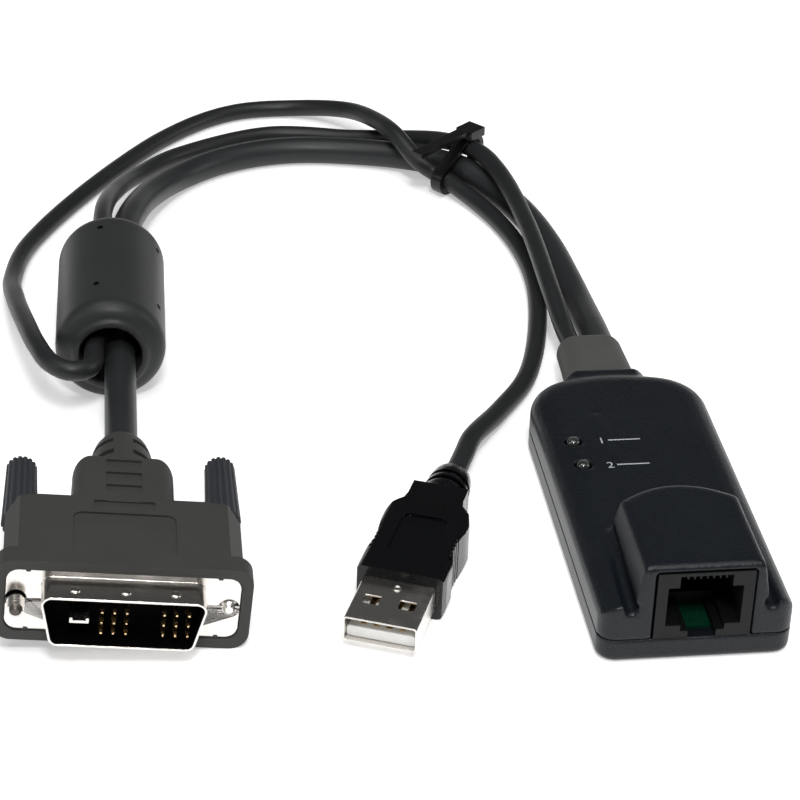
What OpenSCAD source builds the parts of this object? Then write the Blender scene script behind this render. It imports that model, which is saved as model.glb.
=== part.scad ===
// Keyboard, video and mouse server interface module with its video cord, USB cord and ferrite.
// The network jack faces -Y, the cords leave at +Y, and the housing stands on z = 0.

/* [Housing] */
// Width of the housing
body_w = 31.5; // [31:0.5:40]
// Length of the housing from the jack face to the end of the collar
body_len = 74; // [73:1:90]
// Height of the joint line between the two covers
split_h = 4.2; // [4:0.1:4.3]
// Height of the flat deck
deck_h = 10.7; // [10.5:0.1:12]
// Height of the upright side walls
shoulder_h = 7.6; // [7:0.1:8]
// Width of the rounded band between side wall and deck
shoulder_w = 4.2; // [3.6:0.1:4.6]
// Thickness of the side walls
wall = 1.8; // [1.4:0.1:2]
// Thickness of the deck
roof_t = 1.5; // [1.2:0.1:1.7]
// Thickness of the floor
floor_t = 1.6; // [1.3:0.1:1.7]
// Radius of the front corners
front_r = 3; // [2:0.1:4]
// Radius of the rear corners
rear_r = 9.5; // [8:0.5:11]
// Radius of the bowed rear wall
bow_r = 32; // [28:1:60]
// Bevel along the bottom edge
bevel = 0.8; // [0.4:0.1:1.2]
// Length of the collar that stands out of the rear wall over the boot
collar_len = 1; // [0.6:0.1:1.5]

/* [Hood] */
// Length of the hood along its middle
hood_len = 23.8; // [22.5:0.1:28]
// Height of the hood above the table
hood_h = 17.9; // [17.6:0.1:20]
// Width of the hood at its top
hood_w = 19.5; // [19:0.1:21]
// Width of the hood at the deck
hood_foot_w = 22; // [21:0.1:23]
// How far the rear edge of the hood bows
hood_bow = 4; // [2:0.1:4.5]
// How far the rear face of the hood leans
hood_lean = 1.6; // [0.5:0.1:3]
// Radius of the hood's upper edges
hood_r = 1.1; // [0.5:0.1:1.2]
// Distance of the hood's middle from the middle of the housing
hood_x = 0.3; // [0:0.1:0.6]
// Radius of the groove beside the hood
groove_r = 1.15; // [0.8:0.05:1.3]
// Length of the groove beside the hood
groove_len = 22; // [16:1:26]

/* [Network jack] */
// Width of the jack housing
jack_w = 15.6; // [15.2:0.1:16]
// Height of the jack housing
jack_h = 12.2; // [12:0.1:12.4]
// Length of the jack housing
jack_len = 20; // [18:0.5:21]
// Width of the plug opening
port_w = 12; // [11.8:0.1:12.4]
// Height of the plug opening
port_h = 7.1; // [6.9:0.1:7.3]
// Height of the plug opening above the board
port_sill = 2.4; // [2.2:0.1:2.6]
// Depth of the plug opening
port_depth = 15; // [13:0.5:16]
// Width of the contact notch above the opening
notch_w = 8.4; // [8.2:0.1:9]
// Width of the upper latch step
latch_w = 7; // [6.6:0.1:7.2]
// Width of the lower latch step
latch_slot_w = 4.5; // [4:0.1:5]
// Distance between jack contacts
contact_pitch = 1.02; // [0.95:0.01:1.04]
// Thickness of a jack contact
contact_t = 0.36; // [0.25:0.01:0.45]

/* [Status lamps] */
// Radius of the holes in the deck
lamp_hole_r = 1.5; // [1.3:0.05:1.8]
// Radius of a lamp lens
lamp_r = 1.15; // [0.9:0.05:1.25]
// Height of a lens over the deck
lamp_rise = 0.5; // [0.3:0.1:1]
// Distance of the rear lamp from the middle of the housing
power_lamp_y = 11.9; // [10:0.1:13]
// Distance of the front lamp from the middle of the housing
active_lamp_y = 4.5; // [3.5:0.1:6]

/* [Circuit board] */
// Thickness of the board
board_t = 1.6; // [1.2:0.1:1.6]
// Height of the board's underside
board_z = 2.7; // [2.6:0.05:2.75]
// Width and length of the main chip
chip_w = 12; // [8:0.5:13]
// Length of the memory chip
memory_len = 6; // [4:0.5:6.5]
// Length of the line transformer
transformer_len = 9; // [7:0.5:9.5]
// Diameter of a capacitor
capacitor_d = 5; // [3:0.5:5.2]

/* [Cable boot] */
// Width of the boot where it leaves the housing
boot_w = 13.1; // [13:0.1:14]
// Width of the boot at its end
boot_end_w = 12.1; // [11.5:0.1:12.5]
// Height of the boot
boot_h = 7.2; // [6.8:0.1:7.2]
// Distance from the middle of the housing to the end of the boot
boot_reach = 51.5; // [51.5:0.5:51.5]

/* [Video plug] */
// Length of the plug from its plate to the end of the relief
video_len = 44.5; // [43:0.5:50]
// Width of the flange round the plate
flange_w = 40; // [39:0.1:42]
// Height of the flange round the plate
flange_h = 14.9; // [14.4:0.1:16]
// Depth of the flange
flange_t = 3.5; // [3:0.1:4]
// Corner radius of the flange
flange_r = 3; // [2:0.1:4]
// Width of the rim round the plate
rim_w = 1.7; // [1.2:0.1:2]
// Distance between the two thumbscrews
screw_span = 33; // [32:0.1:33.4]
// Width of the plug's grip body
grip_w = 37.6; // [37.4:0.1:38.4]
// Height of the plug's grip body
grip_h = 12.4; // [12:0.1:13]
// Distance from the plate to the back of the grip body
grip_len = 20.5; // [19:0.5:23]
// Width of the flat top of the grip body
grip_flat_w = 27; // [25:0.5:28]
// Distance from the plate to the back of the neck
neck_len = 33.5; // [32:0.5:38]
// Width of the neck
neck_w = 16.6; // [15:0.1:18]
// Height of the neck
neck_h = 11.4; // [10.5:0.1:12]
// Radius of the relief where it leaves the neck
relief_r = 5.6; // [5:0.1:5.8]
// Radius of the relief at the cord
relief_end_r = 3.6; // [3.2:0.1:4]
// Width of the metal shell
shell_w = 25.4; // [24.5:0.1:26]
// Height of the metal shell
shell_h = 9; // [8.6:0.1:9.4]
// Length of the metal shell in front of the plate
shell_len = 5.75; // [5:0.05:7]
// Distance between pins
pin_pitch = 1.905; // [1.8:0.005:2]
// Thickness of a pin
pin_d = 0.7; // [0.5:0.05:0.8]

/* [Thumbscrews] */
// Length of a knob
knob_len = 16.5; // [14:0.5:18]
// Diameter of a knob at its foot
knob_d = 5.9; // [5:0.1:6]
// Diameter of a knob at its end
knob_end_d = 5.1; // [4.6:0.1:5.4]
// Number of flutes round a knob
flutes = 16; // [10:1:20]
// Diameter of the threaded end
thread_d = 2.84; // [2.6:0.02:3]
// Play of a shank in its bore
shank_play = 0.08; // [0.05:0.01:0.1]
// Travel of a thumbscrew
screw_travel = 3; // [2:0.1:3.4]

/* [USB plug] */
// Length of the plug from the shell's mouth to the end of the relief
usb_len = 47.5; // [45:0.5:54]
// Width of the shell
usb_w = 12; // [11.9:0.05:12.1]
// Height of the shell
usb_h = 4.5; // [4.4:0.05:4.6]
// Wall of the shell
usb_wall = 0.3; // [0.2:0.05:0.35]
// Length of the shell in front of the overmould
usb_shell_len = 12; // [11.5:0.1:13]
// Width of the overmould at its front
mould_w = 14.8; // [14:0.1:16]
// Height of the overmould
mould_h = 8; // [7.4:0.1:8]
// Distance from the shell's mouth to the back of the overmould
mould_end = 39; // [37:0.5:42]
// Radius of the relief where it leaves the overmould
usb_relief_r = 4; // [3.6:0.1:4]
// Radius of the relief at the cord
usb_relief_end_r = 3; // [2.4:0.1:3.2]

/* [Ferrite] */
// Diameter of the ferrite's cover
ferrite_d = 19.8; // [19.5:0.1:22]
// Length of the ferrite's cover
ferrite_len = 36.5; // [34:0.5:40]
// Radius of the bore for the cords
ferrite_bore_r = 5.6; // [5.6:0.05:5.8]
// Wall of the cover
ferrite_wall = 1.1; // [0.8:0.1:1.4]
// Radius of the cover's edges
ferrite_edge = 3; // [1.5:0.1:3.2]

/* [Cords] */
// Diameter of the video cord
video_cord_d = 5.6; // [5:0.1:5.6]
// Diameter of the keyboard and mouse cord
usb_cord_d = 3.6; // [3:0.1:3.6]
// Width of the cable tie
tie_w = 2.6; // [2:0.1:3.2]
// Thickness of the cable tie
tie_t = 1; // [0.7:0.1:1]

/* [Hidden] */

// Overrun of every cut
over = 0.5;
// Thickness of the thin slices that the rounded covers are stretched over
film = 0.02;
// Gap between pieces that are fitted without touching
gap = 0.25;
// Slip fit of small pieces
slip = 0.05;

// Places that follow from the housing
front_y = -body_len / 2;
wall_y = body_len / 2 - collar_len;
corner_x = body_w / 2 - rear_r;
bow_y = wall_y - bow_r;
corner_y = bow_y + sqrt(pow(bow_r - rear_r, 2) - pow(corner_x, 2));
turn = atan2(corner_y - bow_y, corner_x);
// Steps along each corner and along the bowed rear wall
corner_steps = 8;
bow_steps = 10;
// Rounded band: share of its width and share of its height
shoulder_shares = [[0.1, 0.38], [0.32, 0.72], [0.64, 0.93], [1, 1]];
// Register lip on the bottom cover
lip_t = 0.8;
lip_h = 1;
lip_gap = 0.15;
lip_in = wall + lip_gap + lip_t;

// Screw that holds the covers together
screw_inset = 6.15;
screw_x = body_w / 2 - screw_inset;
screw_y = 19.5;
screw_r = 1.05;
screw_head_r = 2.1;
screw_head_t = 1.1;
screw_pocket = 1.3;
screw_rise = 8.2;
post_r = 2.9;
boss_r = 2.3;
// Slot in a screw head
slot_w = 0.5;
slot_depth = 0.6;
slot_share = 0.7;

// Places on the board
board_top = board_z + board_t;
board_back = 28.5;
inner_roof = deck_h - roof_t;
jack_x = 0.6;
jack_top = board_top + jack_h;
part_gap = 1.2;
chip_t = 1.6;
leg_t = 0.25;
leg_w = 0.4;
leg_len = 0.8;
leg_pitch = 1.27;
transformer_y = front_y + jack_len + part_gap + transformer_len / 2;
transformer_h = 4.2;
chip_x = 1;
chip_y = transformer_y + transformer_len / 2 + part_gap + leg_len + chip_w / 2;
memory_w = 8;
memory_t = 1.2;
memory_y = chip_y + chip_w / 2 + leg_len + part_gap + memory_len / 2;
crystal_inset = 7.15;
crystal_x = crystal_inset - body_w / 2;
crystal_w = 4.4;
crystal_len = 10.4;
crystal_h = 3.4;
capacitor_inset = 6.65;
capacitor_x = body_w / 2 - capacitor_inset;
capacitor_h = 4.2;
// The transformer fills the room between crystal and capacitors
transformer_left = crystal_x + crystal_w / 2 + part_gap;
transformer_right = capacitor_x - capacitor_d / 2 - part_gap;
header_y = 25;
header_w = 13;
header_len = 4.4;
header_h = 3.6;

// Lamps
power_lamp_inset = 4.75;
active_lamp_inset = 5.05;
power_lamp_x = power_lamp_inset - body_w / 2;
active_lamp_x = active_lamp_inset - body_w / 2;
lamp_foot_z = 6.3;
lamp_flange_r = 1.55;
lamp_flange_t = 0.8;
dome_share = 1.25;
lead_r = 0.25;
lead_span = 1.27;

// Jack details
jack_roof = 0.6;
notch_depth = 13;
latch_depth = 9;
latch_step_h = 1.1;
comb_len = 1.6;
comb_t = 0.3;
comb_h = 0.5;
contacts = 8;
contact_drop = 3.1;
contact_slope_len = 8;

// Boot details
boot_x = -0.45;
boot_z = 5.5;
boot_gap = 0.15;
boot_flange = 1.3;
boot_flange_t = 1.7;
boot_flange_h = 5.6;
boot_flange_y = 30;
boot_round = 1.2;
collar_rim = 1.5;
core_r = 0.55;
core_pitch = 1.6;
cores = 7;

// Dimple and shoulder marks of the mould on the deck
dimple_x = -5.5;
dimple_y = 21.2;
dimple_r = 0.7;
dimple_depth = 0.25;

// Route of the video cord from the boot to the plug
video_route = [[2, 51.5, 5.5], [2.2, 60, 4.6], [2.3, 73, 3], [1.7, 86, 2.8], [0.6, 99, 2.8], [-2, 112, 2.9],
    [-6, 122, 3.2], [-11.3, 129.8, 4.1], [-20, 137.3, 3.5], [-33, 142.6, 2.9], [-47, 144.2, 2.8],
    [-60, 140.6, 2.8], [-70.5, 132.5, 3.1], [-77.4, 121, 5], [-81.6, 107.5, 7.4], [-83.9, 96, 8.3],
    [-84.8, 85, 8.4], [-85.6, 67, 8.4], [-86.5, 48.5, 8.4], [-87, 36, 8.8], [-87.5, 23, 8.8],
    [-87.711, 17.504, 8.8]];
// Route of the keyboard and mouse cord from the boot through ferrite, loop and tie to the plug
usb_route = [[-3, 51.5, 5.5], [-3.3, 60, 5.4], [-3.8, 72, 7.2], [-4.1, 96, 8.4], [-6, 119.5, 8.7],
    [-9, 129.8, 8.6], [-14.8, 138.4, 7], [-23, 146.2, 4], [-33, 151.2, 2], [-50, 154, 1.9],
    [-70, 144.6, 2.1], [-79, 133, 3.6], [-84.3, 118.5, 7.4], [-87.3, 102, 11.4], [-88, 85, 12.6],
    [-89.7, 58, 12.1], [-91.1, 48, 10.9], [-91.4, 43.8, 11], [-93, 41.2, 11.2], [-96, 40.6, 11.5],
    [-98.9, 43.4, 11.6], [-101.2, 50.5, 11.2], [-103.2, 62.5, 9.4], [-104.8, 76, 6.6],
    [-105.3, 90, 3.4], [-101.2, 108.5, 1.9], [-73, 153, 1.9], [-57, 165.5, 1.9], [-43, 166.5, 2.2],
    [-33, 158.5, 5.2], [-28, 147.5, 7.8], [-25, 138, 8.8], [-20.8, 131, 5.8], [-14.9, 126.4, 3.2],
    [-7.4, 111, 1.9], [-4.4, 93, 1.9], [-5.6, 74, 1.9], [-12, 49, 1.9], [-19.5, 36, 2.4],
    [-26.2, 25, 4], [-28.5, 19.5, 4], [-31.56, 12.11, 4]];
// Most ring distance along a cord, as a share of its diameter
ring_share = 3.4;
video_sides = 10;
usb_sides = 8;

// Ferrite: front end of its axis and its turn on the table
ferrite_x = -88.2;
ferrite_y = 48.5;
ferrite_turn = -2.67;
ferrite_steps = 5;
rim_t = 0.7;
rim_out = 1.2;
core_play = 0.1;
seam_w = 0.5;
seam_depth = 0.35;

// Tie: the cord middles that it holds, as [place across, height, radius]
tie_gap = 0.3;
tie_x = -12.2;
tie_y = 130.8;
tie_turn = 42;
tie_held = [[0, 4.1, video_cord_d / 2], [3, 8.1, usb_cord_d / 2], [-4.9, 3.4, usb_cord_d / 2]];
tie_head_w = 4.2;
tie_head_h = 2.4;
tie_head_len = 4.4;
tie_tail_len = 15;

// Video plug: turn on the table, and lean by which its flange corner rests on the table
video_turn = -2.2;
video_roll = 5;
video_exit = video_route[len(video_route) - 1];
video_z = (flange_w / 2 - flange_r) * sin(video_roll) + (flange_h / 2 - flange_r) * cos(video_roll)
    + flange_r;
// Rim of the flange in front of the plate
rim_lip = 0.4;
plate_t = 0.8;
plate_gap = 0.1;
shell_wall = 0.4;
shell_slant = 1.3;
shell_r = 1.6;
shell_tilt = 10;
insulator_front = -1.2;
insulator_back = 7;
blade_w = 3;
blade_t = 0.5;
blade_lip = 0.7;
blade_x = -6.75;
pin_columns = [0, 1, 2, 5, 6, 7];
pin_middle = 3.36;
column_mid = 3.5;
pin_tip = 5.4;
// Grip body: chamfers, plate hole and screw chambers
grip_side_h = 6.6;
grip_chamfer = 1.8;
plate_hole_r = 1.65;
ring_t = 0.8;
ring_r = 1.85;
groove_cut = 0.4;
chamber_y = 9;
chamber_r = 1.95;
knob_gap = 0.3;
knob_socket = 0.1;
tip_rise = 3.6;
tip_len = 0.8;
thread_rear = -0.6;
thread_step = 0.2;
flute_r = 0.42;
panel_w = 16.3;
panel_len = 11.8;
panel_y = 4.2;
panel_depth = 0.35;
panel_r = 1.6;
step_w = 9.8;
step_t = 0.9;
step_depth = 0.4;
step_run = 2.9;
facet_share = 0.58;
facet_drop = 0.4;
small_step_w = 5.8;
small_steps = 3;
step_pitch = 3.75;
neck_round = 3;
relief_slot_t = 1.3;
relief_slot_depth = 1.2;
relief_slot_y = 2;
relief_bridge = 3.2;
relief_steps = 6;

// USB plug: turn on the table and height of its middle
usb_turn = -22.5;
usb_exit = usb_route[len(usb_route) - 1];
usb_shell_in = 4;
usb_shell_r = 0.5;
window_w = 2.7;
window_len = 2.3;
window_x = 2.9;
window_y = 4.6;
tongue_t = 1.9;
tongue_front = 1;
contact_w = 1;
contact_h = 0.15;
usb_pins = 4;
contact_step = 2.1;
mould_edge = 1.4;
grip_teeth = 6;
grip_tooth = 0.45;
grip_pitch = 1.1;
grip_start = 18.2;
usb_panel_w = 7.6;
usb_panel_len = 12;
usb_panel_y = 17;
usb_panel_depth = 0.3;
usb_ring_t = 1.1;
usb_ring_cut = 0.6;
usb_relief_steps = 5;
// Outline of the overmould: share of its half width, share of the way to its back
mould_shares = [[0.96, 0], [1, 0.06], [0.99, 0.2], [0.9, 0.3], [0.9, 0.4], [0.97, 0.55], [0.98, 0.64],
    [0.88, 0.73], [0.68, 0.8], [0.64, 0.86], [0.64, 1]];

// Points along an arc round a middle, both ends included
function arc(middle, r, from, to, n) =
    [for (i = [0 : n]) middle + r * [cos(from + (to - from) * i / n), sin(from + (to - from) * i / n)]];

// Points of the rear of the plan outline, from the right corner to the left one
function rear_outline(inset) = concat(
    arc([corner_x, corner_y], rear_r - inset, 0, turn, corner_steps),
    [for (i = [1 : bow_steps - 1])
        let (a = turn + (180 - 2 * turn) * i / bow_steps)
        [0, bow_y] + (bow_r - inset) * [cos(a), sin(a)]],
    arc([-corner_x, corner_y], rear_r - inset, 180 - turn, 180, corner_steps));

// Plan outline of the housing, drawn in by an inset
function outline(inset) =
    let (r = max(front_r - inset, film))
    concat(
        arc([body_w / 2 - inset - r, front_y + inset + r], r, -90, 0, corner_steps),
        rear_outline(inset),
        arc([inset + r - body_w / 2, front_y + inset + r], r, 180, 270, corner_steps));

// The same with its front left long, for the rounded band that runs along sides and rear
function long_outline(inset) = concat(
    [[body_w / 2 - inset, front_y - shoulder_w]],
    rear_outline(inset),
    [[inset - body_w / 2, front_y - shoulder_w]]);

// Plan outline of the hood with its bowed rear edge
function hood_outline(half_w, inset, lean) = concat(
    [[hood_x - half_w + inset, front_y + inset], [hood_x + half_w - inset, front_y + inset]],
    [for (i = [0 : bow_steps])
        let (s = 1 - 2 * i / bow_steps)
        [hood_x + s * (half_w - inset), front_y + hood_len + lean - inset - hood_bow * s * s]]);

// Length of each stretch of a route
function stretches(p) = [for (i = [0 : len(p) - 2]) norm(p[i + 1] - p[i])];
// Direction of a route at one of its points, per root of length
function slope(p, i) =
    i == 0 ? (p[1] - p[0]) / sqrt(norm(p[1] - p[0])) :
    i == len(p) - 1 ? (p[i] - p[i - 1]) / sqrt(norm(p[i] - p[i - 1])) :
    let (a = sqrt(norm(p[i] - p[i - 1])), b = sqrt(norm(p[i + 1] - p[i])))
    (p[i] - p[i - 1]) / a - (p[i + 1] - p[i - 1]) / (a + b) + (p[i + 1] - p[i]) / b;
// Point at share t of a stretch
function along(p, i, t) =
    let (k = sqrt(norm(p[i + 1] - p[i])))
    (2 * t * t * t - 3 * t * t + 1) * p[i] + (t * t * t - 2 * t * t + t) * k * slope(p, i)
    + (3 * t * t - 2 * t * t * t) * p[i + 1] + (t * t * t - t * t) * k * slope(p, i + 1);
// Ring middles of a cord: every route point, and more on the long stretches
function middles(p, d) = concat(
    [for (i = [0 : len(p) - 2])
        let (n = ceil(stretches(p)[i] / (ring_share * d)))
        for (j = [0 : n - 1])
        let (q = along(p, i, j / n))
        [q[0], q[1], max(q[2], d / 2)]],
    [p[len(p) - 1]]);
function unit(v) = v / norm(v);
// One ring of a cord, square to the way that the cord takes there
function ring(m, i, d, n) =
    let (ahead = unit(m[min(i + 1, len(m) - 1)] - m[max(i - 1, 0)]),
        side = unit(cross(ahead, [0, 0, 1])),
        up = cross(side, ahead))
    [for (k = [0 : n - 1]) m[i] + d / 2 * (cos(360 * k / n) * up + sin(360 * k / n) * side)];

// A cord as one closed tube
module cord(route, d, n) {
    m = middles(route, d);
    points = [for (i = [0 : len(m) - 1]) for (p = ring(m, i, d, n)) p];
    last = (len(m) - 1) * n;
    walls = [for (i = [0 : len(m) - 2]) for (k = [0 : n - 1])
        for (f = [0, 1])
        let (a = i * n + k, b = i * n + (k + 1) % n)
        f == 0 ? [a, a + n, b] : [b, a + n, b + n]];
    near = [[for (k = [0 : n - 1]) k]];
    far = [[for (k = [n - 1 : -1 : 0]) last + k]];
    polyhedron(points, concat(near, walls, far));
}

// A thin slice of an outline
module slice(points, z) {
    translate([0, 0, z]) linear_extrude(film) polygon(points);
}

// A plate of an outline between two heights
module slab(points, z0, z1) {
    translate([0, 0, z0]) linear_extrude(z1 - z0) polygon(points);
}

// The upright block cut by a rounded deck, whose first band runs on down outside the walls
module deck_form(inset, top) {
    first = shoulder_shares[0];
    flare = shoulder_w * first[0] * shoulder_h / (top - film - shoulder_h) / first[1];
    intersection() {
        slab(outline(inset), split_h, top + over);
        hull() {
            slice(long_outline(inset - flare), 0);
            for (s = shoulder_shares)
                slice(long_outline(inset + shoulder_w * s[0]),
                    shoulder_h + (top - film - shoulder_h) * s[1]);
        }
    }
}

module hood_form() {
    hull() {
        slice(hood_outline(hood_foot_w / 2, 0, hood_lean), shoulder_h);
        slice(hood_outline(hood_foot_w / 2, 0, hood_lean), deck_h - hood_r);
        for (a = [0 : 30 : 90])
            slice(hood_outline(hood_w / 2, hood_r * (1 - cos(a)), 0),
                hood_h - film - hood_r * (1 - sin(a)));
    }
}

// An upright slot shape with round ends, as wide and as high as given
module stadium(w, h) {
    square([w - h, h], center = true);
    for (s = [-1, 1])
        translate([s * (w - h) / 2, 0]) circle(d = h, $fn = 48);
}

// A prism along Y from y0 to y1 of the shape that follows
module along_y(y0, y1) {
    translate([0, y1, 0]) rotate([90, 0, 0]) linear_extrude(y1 - y0) children();
}

// A round bar along Y
module bar_y(r0, r1, y0, y1, n = 32) {
    translate([0, y0, 0]) rotate([-90, 0, 0]) cylinder(r1 = r0, r2 = r1, h = y1 - y0, $fn = n);
}

// A round bar along Z
module upright(r, z0, z1, n = 32) {
    translate([0, 0, z0]) cylinder(r = r, h = z1 - z0, $fn = n);
}

// A block given by its middle in X and its two ends in Y and Z
module block(x, w, y0, y1, z0, z1) {
    translate([x - w / 2, y0, z0]) cube([w, y1 - y0, z1 - z0]);
}

// A rectangle with round corners
module round_rect(w, h, r) {
    square([w - 2 * r, h], center = true);
    square([w, h - 2 * r], center = true);
    for (s = [-1, 1], t = [-1, 1])
        translate([s * (w / 2 - r), t * (h / 2 - r)]) circle(r = r, $fn = 32);
}

module at_boot() {
    translate([boot_x, 0, boot_z]) children();
}

module at_screws() {
    for (s = [-1, 1])
        translate([s * screw_x, screw_y, 0]) children();
}

module top_cover() {
    color([0.25, 0.27, 0.29])
    difference() {
        union() {
            difference() {
                union() {
                    deck_form(0, deck_h);
                    hood_form();
                }
                translate([0, 0, -film]) deck_form(wall, inner_roof + film);
            }
            // Thicker roof under the deep front ends of the grooves
            for (s = [-1, 1])
                block(hood_x + s * (hood_foot_w / 2 + groove_r / 4), 2 * groove_r + wall / 2,
                    front_y + wall / 2, front_y + groove_len / 2,
                    inner_roof - roof_t / 2, inner_roof + film);
            at_screws() upright(boss_r, board_top, inner_roof + film);
            intersection() {
                at_boot() along_y(wall_y - wall, wall_y + collar_len)
                    stadium(boot_w + 2 * collar_rim, boot_h + 2 * collar_rim);
                block(0, body_w, wall_y - wall, wall_y + collar_len, split_h, deck_h - roof_t / 2);
            }
        }
        block(jack_x, jack_w + 2 * gap, front_y - over, front_y + jack_len + gap,
            split_h - over, jack_top + gap);
        at_boot() along_y(wall_y - wall - bow_r / 4, wall_y + collar_len + over)
            stadium(boot_w + 2 * boot_gap, boot_h + 2 * boot_gap);
        at_screws() upright(screw_r + slip, board_top - over, screw_rise);
        for (p = [[power_lamp_x, power_lamp_y], [active_lamp_x, active_lamp_y]])
            translate(p) upright(lamp_hole_r, inner_roof - over, deck_h + over, 48);
        translate([dimple_x, dimple_y, deck_h - dimple_depth]) cylinder(r = dimple_r, h = over, $fn = 24);
        for (s = [-1, 1])
            translate([hood_x + s * (hood_foot_w / 2 + groove_r / 4), front_y - over,
                deck_h - groove_r / 2])
            rotate([asin(groove_r / groove_len * 2) - 90, 0, 0])
            cylinder(r = groove_r, h = groove_len, $fn = 24);
    }
}

module bottom_cover() {
    color([0.25, 0.27, 0.29])
    difference() {
        union() {
            difference() {
                union() {
                    intersection() {
                        slab(outline(0), 0, split_h);
                        hull() {
                            slice(outline(bevel), -film);
                            slice(outline(bevel - split_h), split_h);
                        }
                    }
                    slab(outline(wall + lip_gap), split_h - over, split_h + lip_h);
                }
                slab(outline(lip_in), floor_t, split_h + lip_h + over);
            }
            at_screws() upright(post_r, floor_t - film, board_z);
        }
        at_screws() upright(screw_head_r + gap, -over, screw_pocket);
        at_screws() upright(screw_r + gap, 0, board_z + over);
        block(jack_x, jack_w + 2 * gap, front_y - over, front_y + lip_in + over,
            split_h, split_h + lip_h + over);
        at_boot() along_y(wall_y - bow_r / 4, wall_y + over)
            stadium(boot_w + 2 * boot_gap, boot_h + 2 * boot_gap);
    }
}

module cover_screws() {
    color([0.6, 0.6, 0.62])
    at_screws() difference() {
        union() {
            upright(screw_head_r, screw_pocket - screw_head_t, screw_pocket);
            upright(screw_r, screw_pocket - film, screw_rise - gap - film);
        }
        for (a = [0, 90])
            rotate([0, 0, a])
            translate([0, 0, screw_pocket - screw_head_t - over + (over + slot_depth) / 2])
            cube([2 * screw_head_r * slot_share, slot_w, over + slot_depth], center = true);
    }
}

module circuit_board() {
    color([0.1, 0.4, 0.2])
    difference() {
        intersection() {
            slab(outline(lip_in + gap), board_z, board_top);
            block(0, body_w, front_y, board_back, 0, deck_h);
        }
        at_screws() upright(screw_r + gap, board_z - over, board_top + over);
    }
}

module jack_housing() {
    back = front_y + jack_len;
    sill = board_top + port_sill;
    color([0.3, 0.3, 0.31])
    difference() {
        block(jack_x, jack_w, front_y, back, board_top, jack_top);
        block(jack_x, port_w, front_y - over, front_y + port_depth, sill, sill + port_h);
        block(jack_x, notch_w, front_y - over, front_y + notch_depth,
            sill + port_h - over, jack_top - jack_roof);
        block(jack_x, latch_w, front_y - over, front_y + latch_depth, sill - latch_step_h, sill + over);
        block(jack_x, latch_slot_w, front_y - over, front_y + latch_depth, board_top - over, sill);
    }
    // Comb that keeps the contacts apart
    color([0.3, 0.3, 0.31])
    for (i = [0 : contacts - 2])
        block(jack_x + (i + 1 - contacts / 2) * contact_pitch, comb_t, front_y, front_y + comb_len,
            jack_top - jack_roof - comb_h, jack_top - jack_roof);
}

module jack_contacts() {
    top = jack_top - jack_roof - comb_h;
    start = front_y + comb_len + contact_t;
    color([0.85, 0.7, 0.35])
    for (i = [0 : contacts - 1])
        translate([jack_x + (i - (contacts - 1) / 2) * contact_pitch, 0, 0]) {
            block(0, contact_t, start, front_y + notch_depth, top - contact_t, top);
            translate([-contact_t / 2, start, top - contact_t])
                rotate([-asin(contact_drop / contact_slope_len), 0, 0])
                cube([contact_t, contact_slope_len, contact_t]);
        }
}

// One lamp with its flange and domed end
module lamp(x, y) {
    straight = deck_h + lamp_rise - lamp_r / 2;
    translate([x, y, 0]) {
        upright(lamp_flange_r, lamp_foot_z, lamp_foot_z + lamp_flange_t);
        upright(lamp_r, lamp_foot_z, straight);
        translate([0, 0, straight - film]) intersection() {
            translate([0, 0, -lamp_r * sqrt(dome_share * dome_share - 1)])
                sphere(r = lamp_r * dome_share, $fn = 32);
            cylinder(r = lamp_r, h = lamp_r, $fn = 32);
        }
    }
}

module power_lamp() {
    color([0.2, 0.25, 0.22]) lamp(power_lamp_x, power_lamp_y);
}

module active_lamp() {
    color([0.2, 0.25, 0.22]) lamp(active_lamp_x, active_lamp_y);
}

module lamp_leads() {
    color([0.75, 0.75, 0.75])
    for (p = [[power_lamp_x, power_lamp_y], [active_lamp_x, active_lamp_y]], s = [-1, 1])
        translate([p[0], p[1] + s * lead_span / 2]) upright(lead_r, board_top, lamp_foot_z, 16);
}

// A chip with a row of legs on two sides
module chip(x, y, w, l, t) {
    count = floor((w - leg_pitch) / leg_pitch);
    block(x, w, y - l / 2, y + l / 2, board_top + leg_t, board_top + t);
    for (i = [0 : count - 1], s = [-1, 1])
        block(x + (i - (count - 1) / 2) * leg_pitch, leg_w,
            y + s * l / 2 - leg_len, y + s * l / 2 + leg_len, board_top, board_top + 2 * leg_t);
}

module main_chip() {
    color([0.12, 0.12, 0.13]) chip(chip_x, chip_y, chip_w, chip_w, chip_t);
}

module memory_chip() {
    color([0.12, 0.12, 0.13]) chip(chip_x, memory_y, memory_w, memory_len, memory_t);
}

module line_transformer() {
    color([0.15, 0.15, 0.16])
    block((transformer_left + transformer_right) / 2, transformer_right - transformer_left,
        transformer_y - transformer_len / 2, transformer_y + transformer_len / 2,
        board_top, board_top + transformer_h);
}

module crystal() {
    color([0.75, 0.75, 0.76])
    translate([crystal_x, transformer_y, board_top]) rotate([0, 0, 90]) linear_extrude(crystal_h)
        stadium(crystal_len, crystal_w);
}

module capacitors() {
    color([0.2, 0.2, 0.25])
    for (s = [-1, 1])
        translate([capacitor_x, transformer_y + s * (capacitor_d + part_gap) / 2])
        upright(capacitor_d / 2, board_top, board_top + capacitor_h);
}

module cable_header() {
    color([0.9, 0.88, 0.8])
    difference() {
        block(boot_x, header_w, header_y - header_len / 2, header_y + header_len / 2,
            board_top, board_top + header_h);
        for (i = [0 : cores - 1])
            translate([boot_x + (i - (cores - 1) / 2) * core_pitch, 0, boot_z])
            bar_y(core_r, core_r, header_y, header_y + header_len);
    }
}

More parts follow.
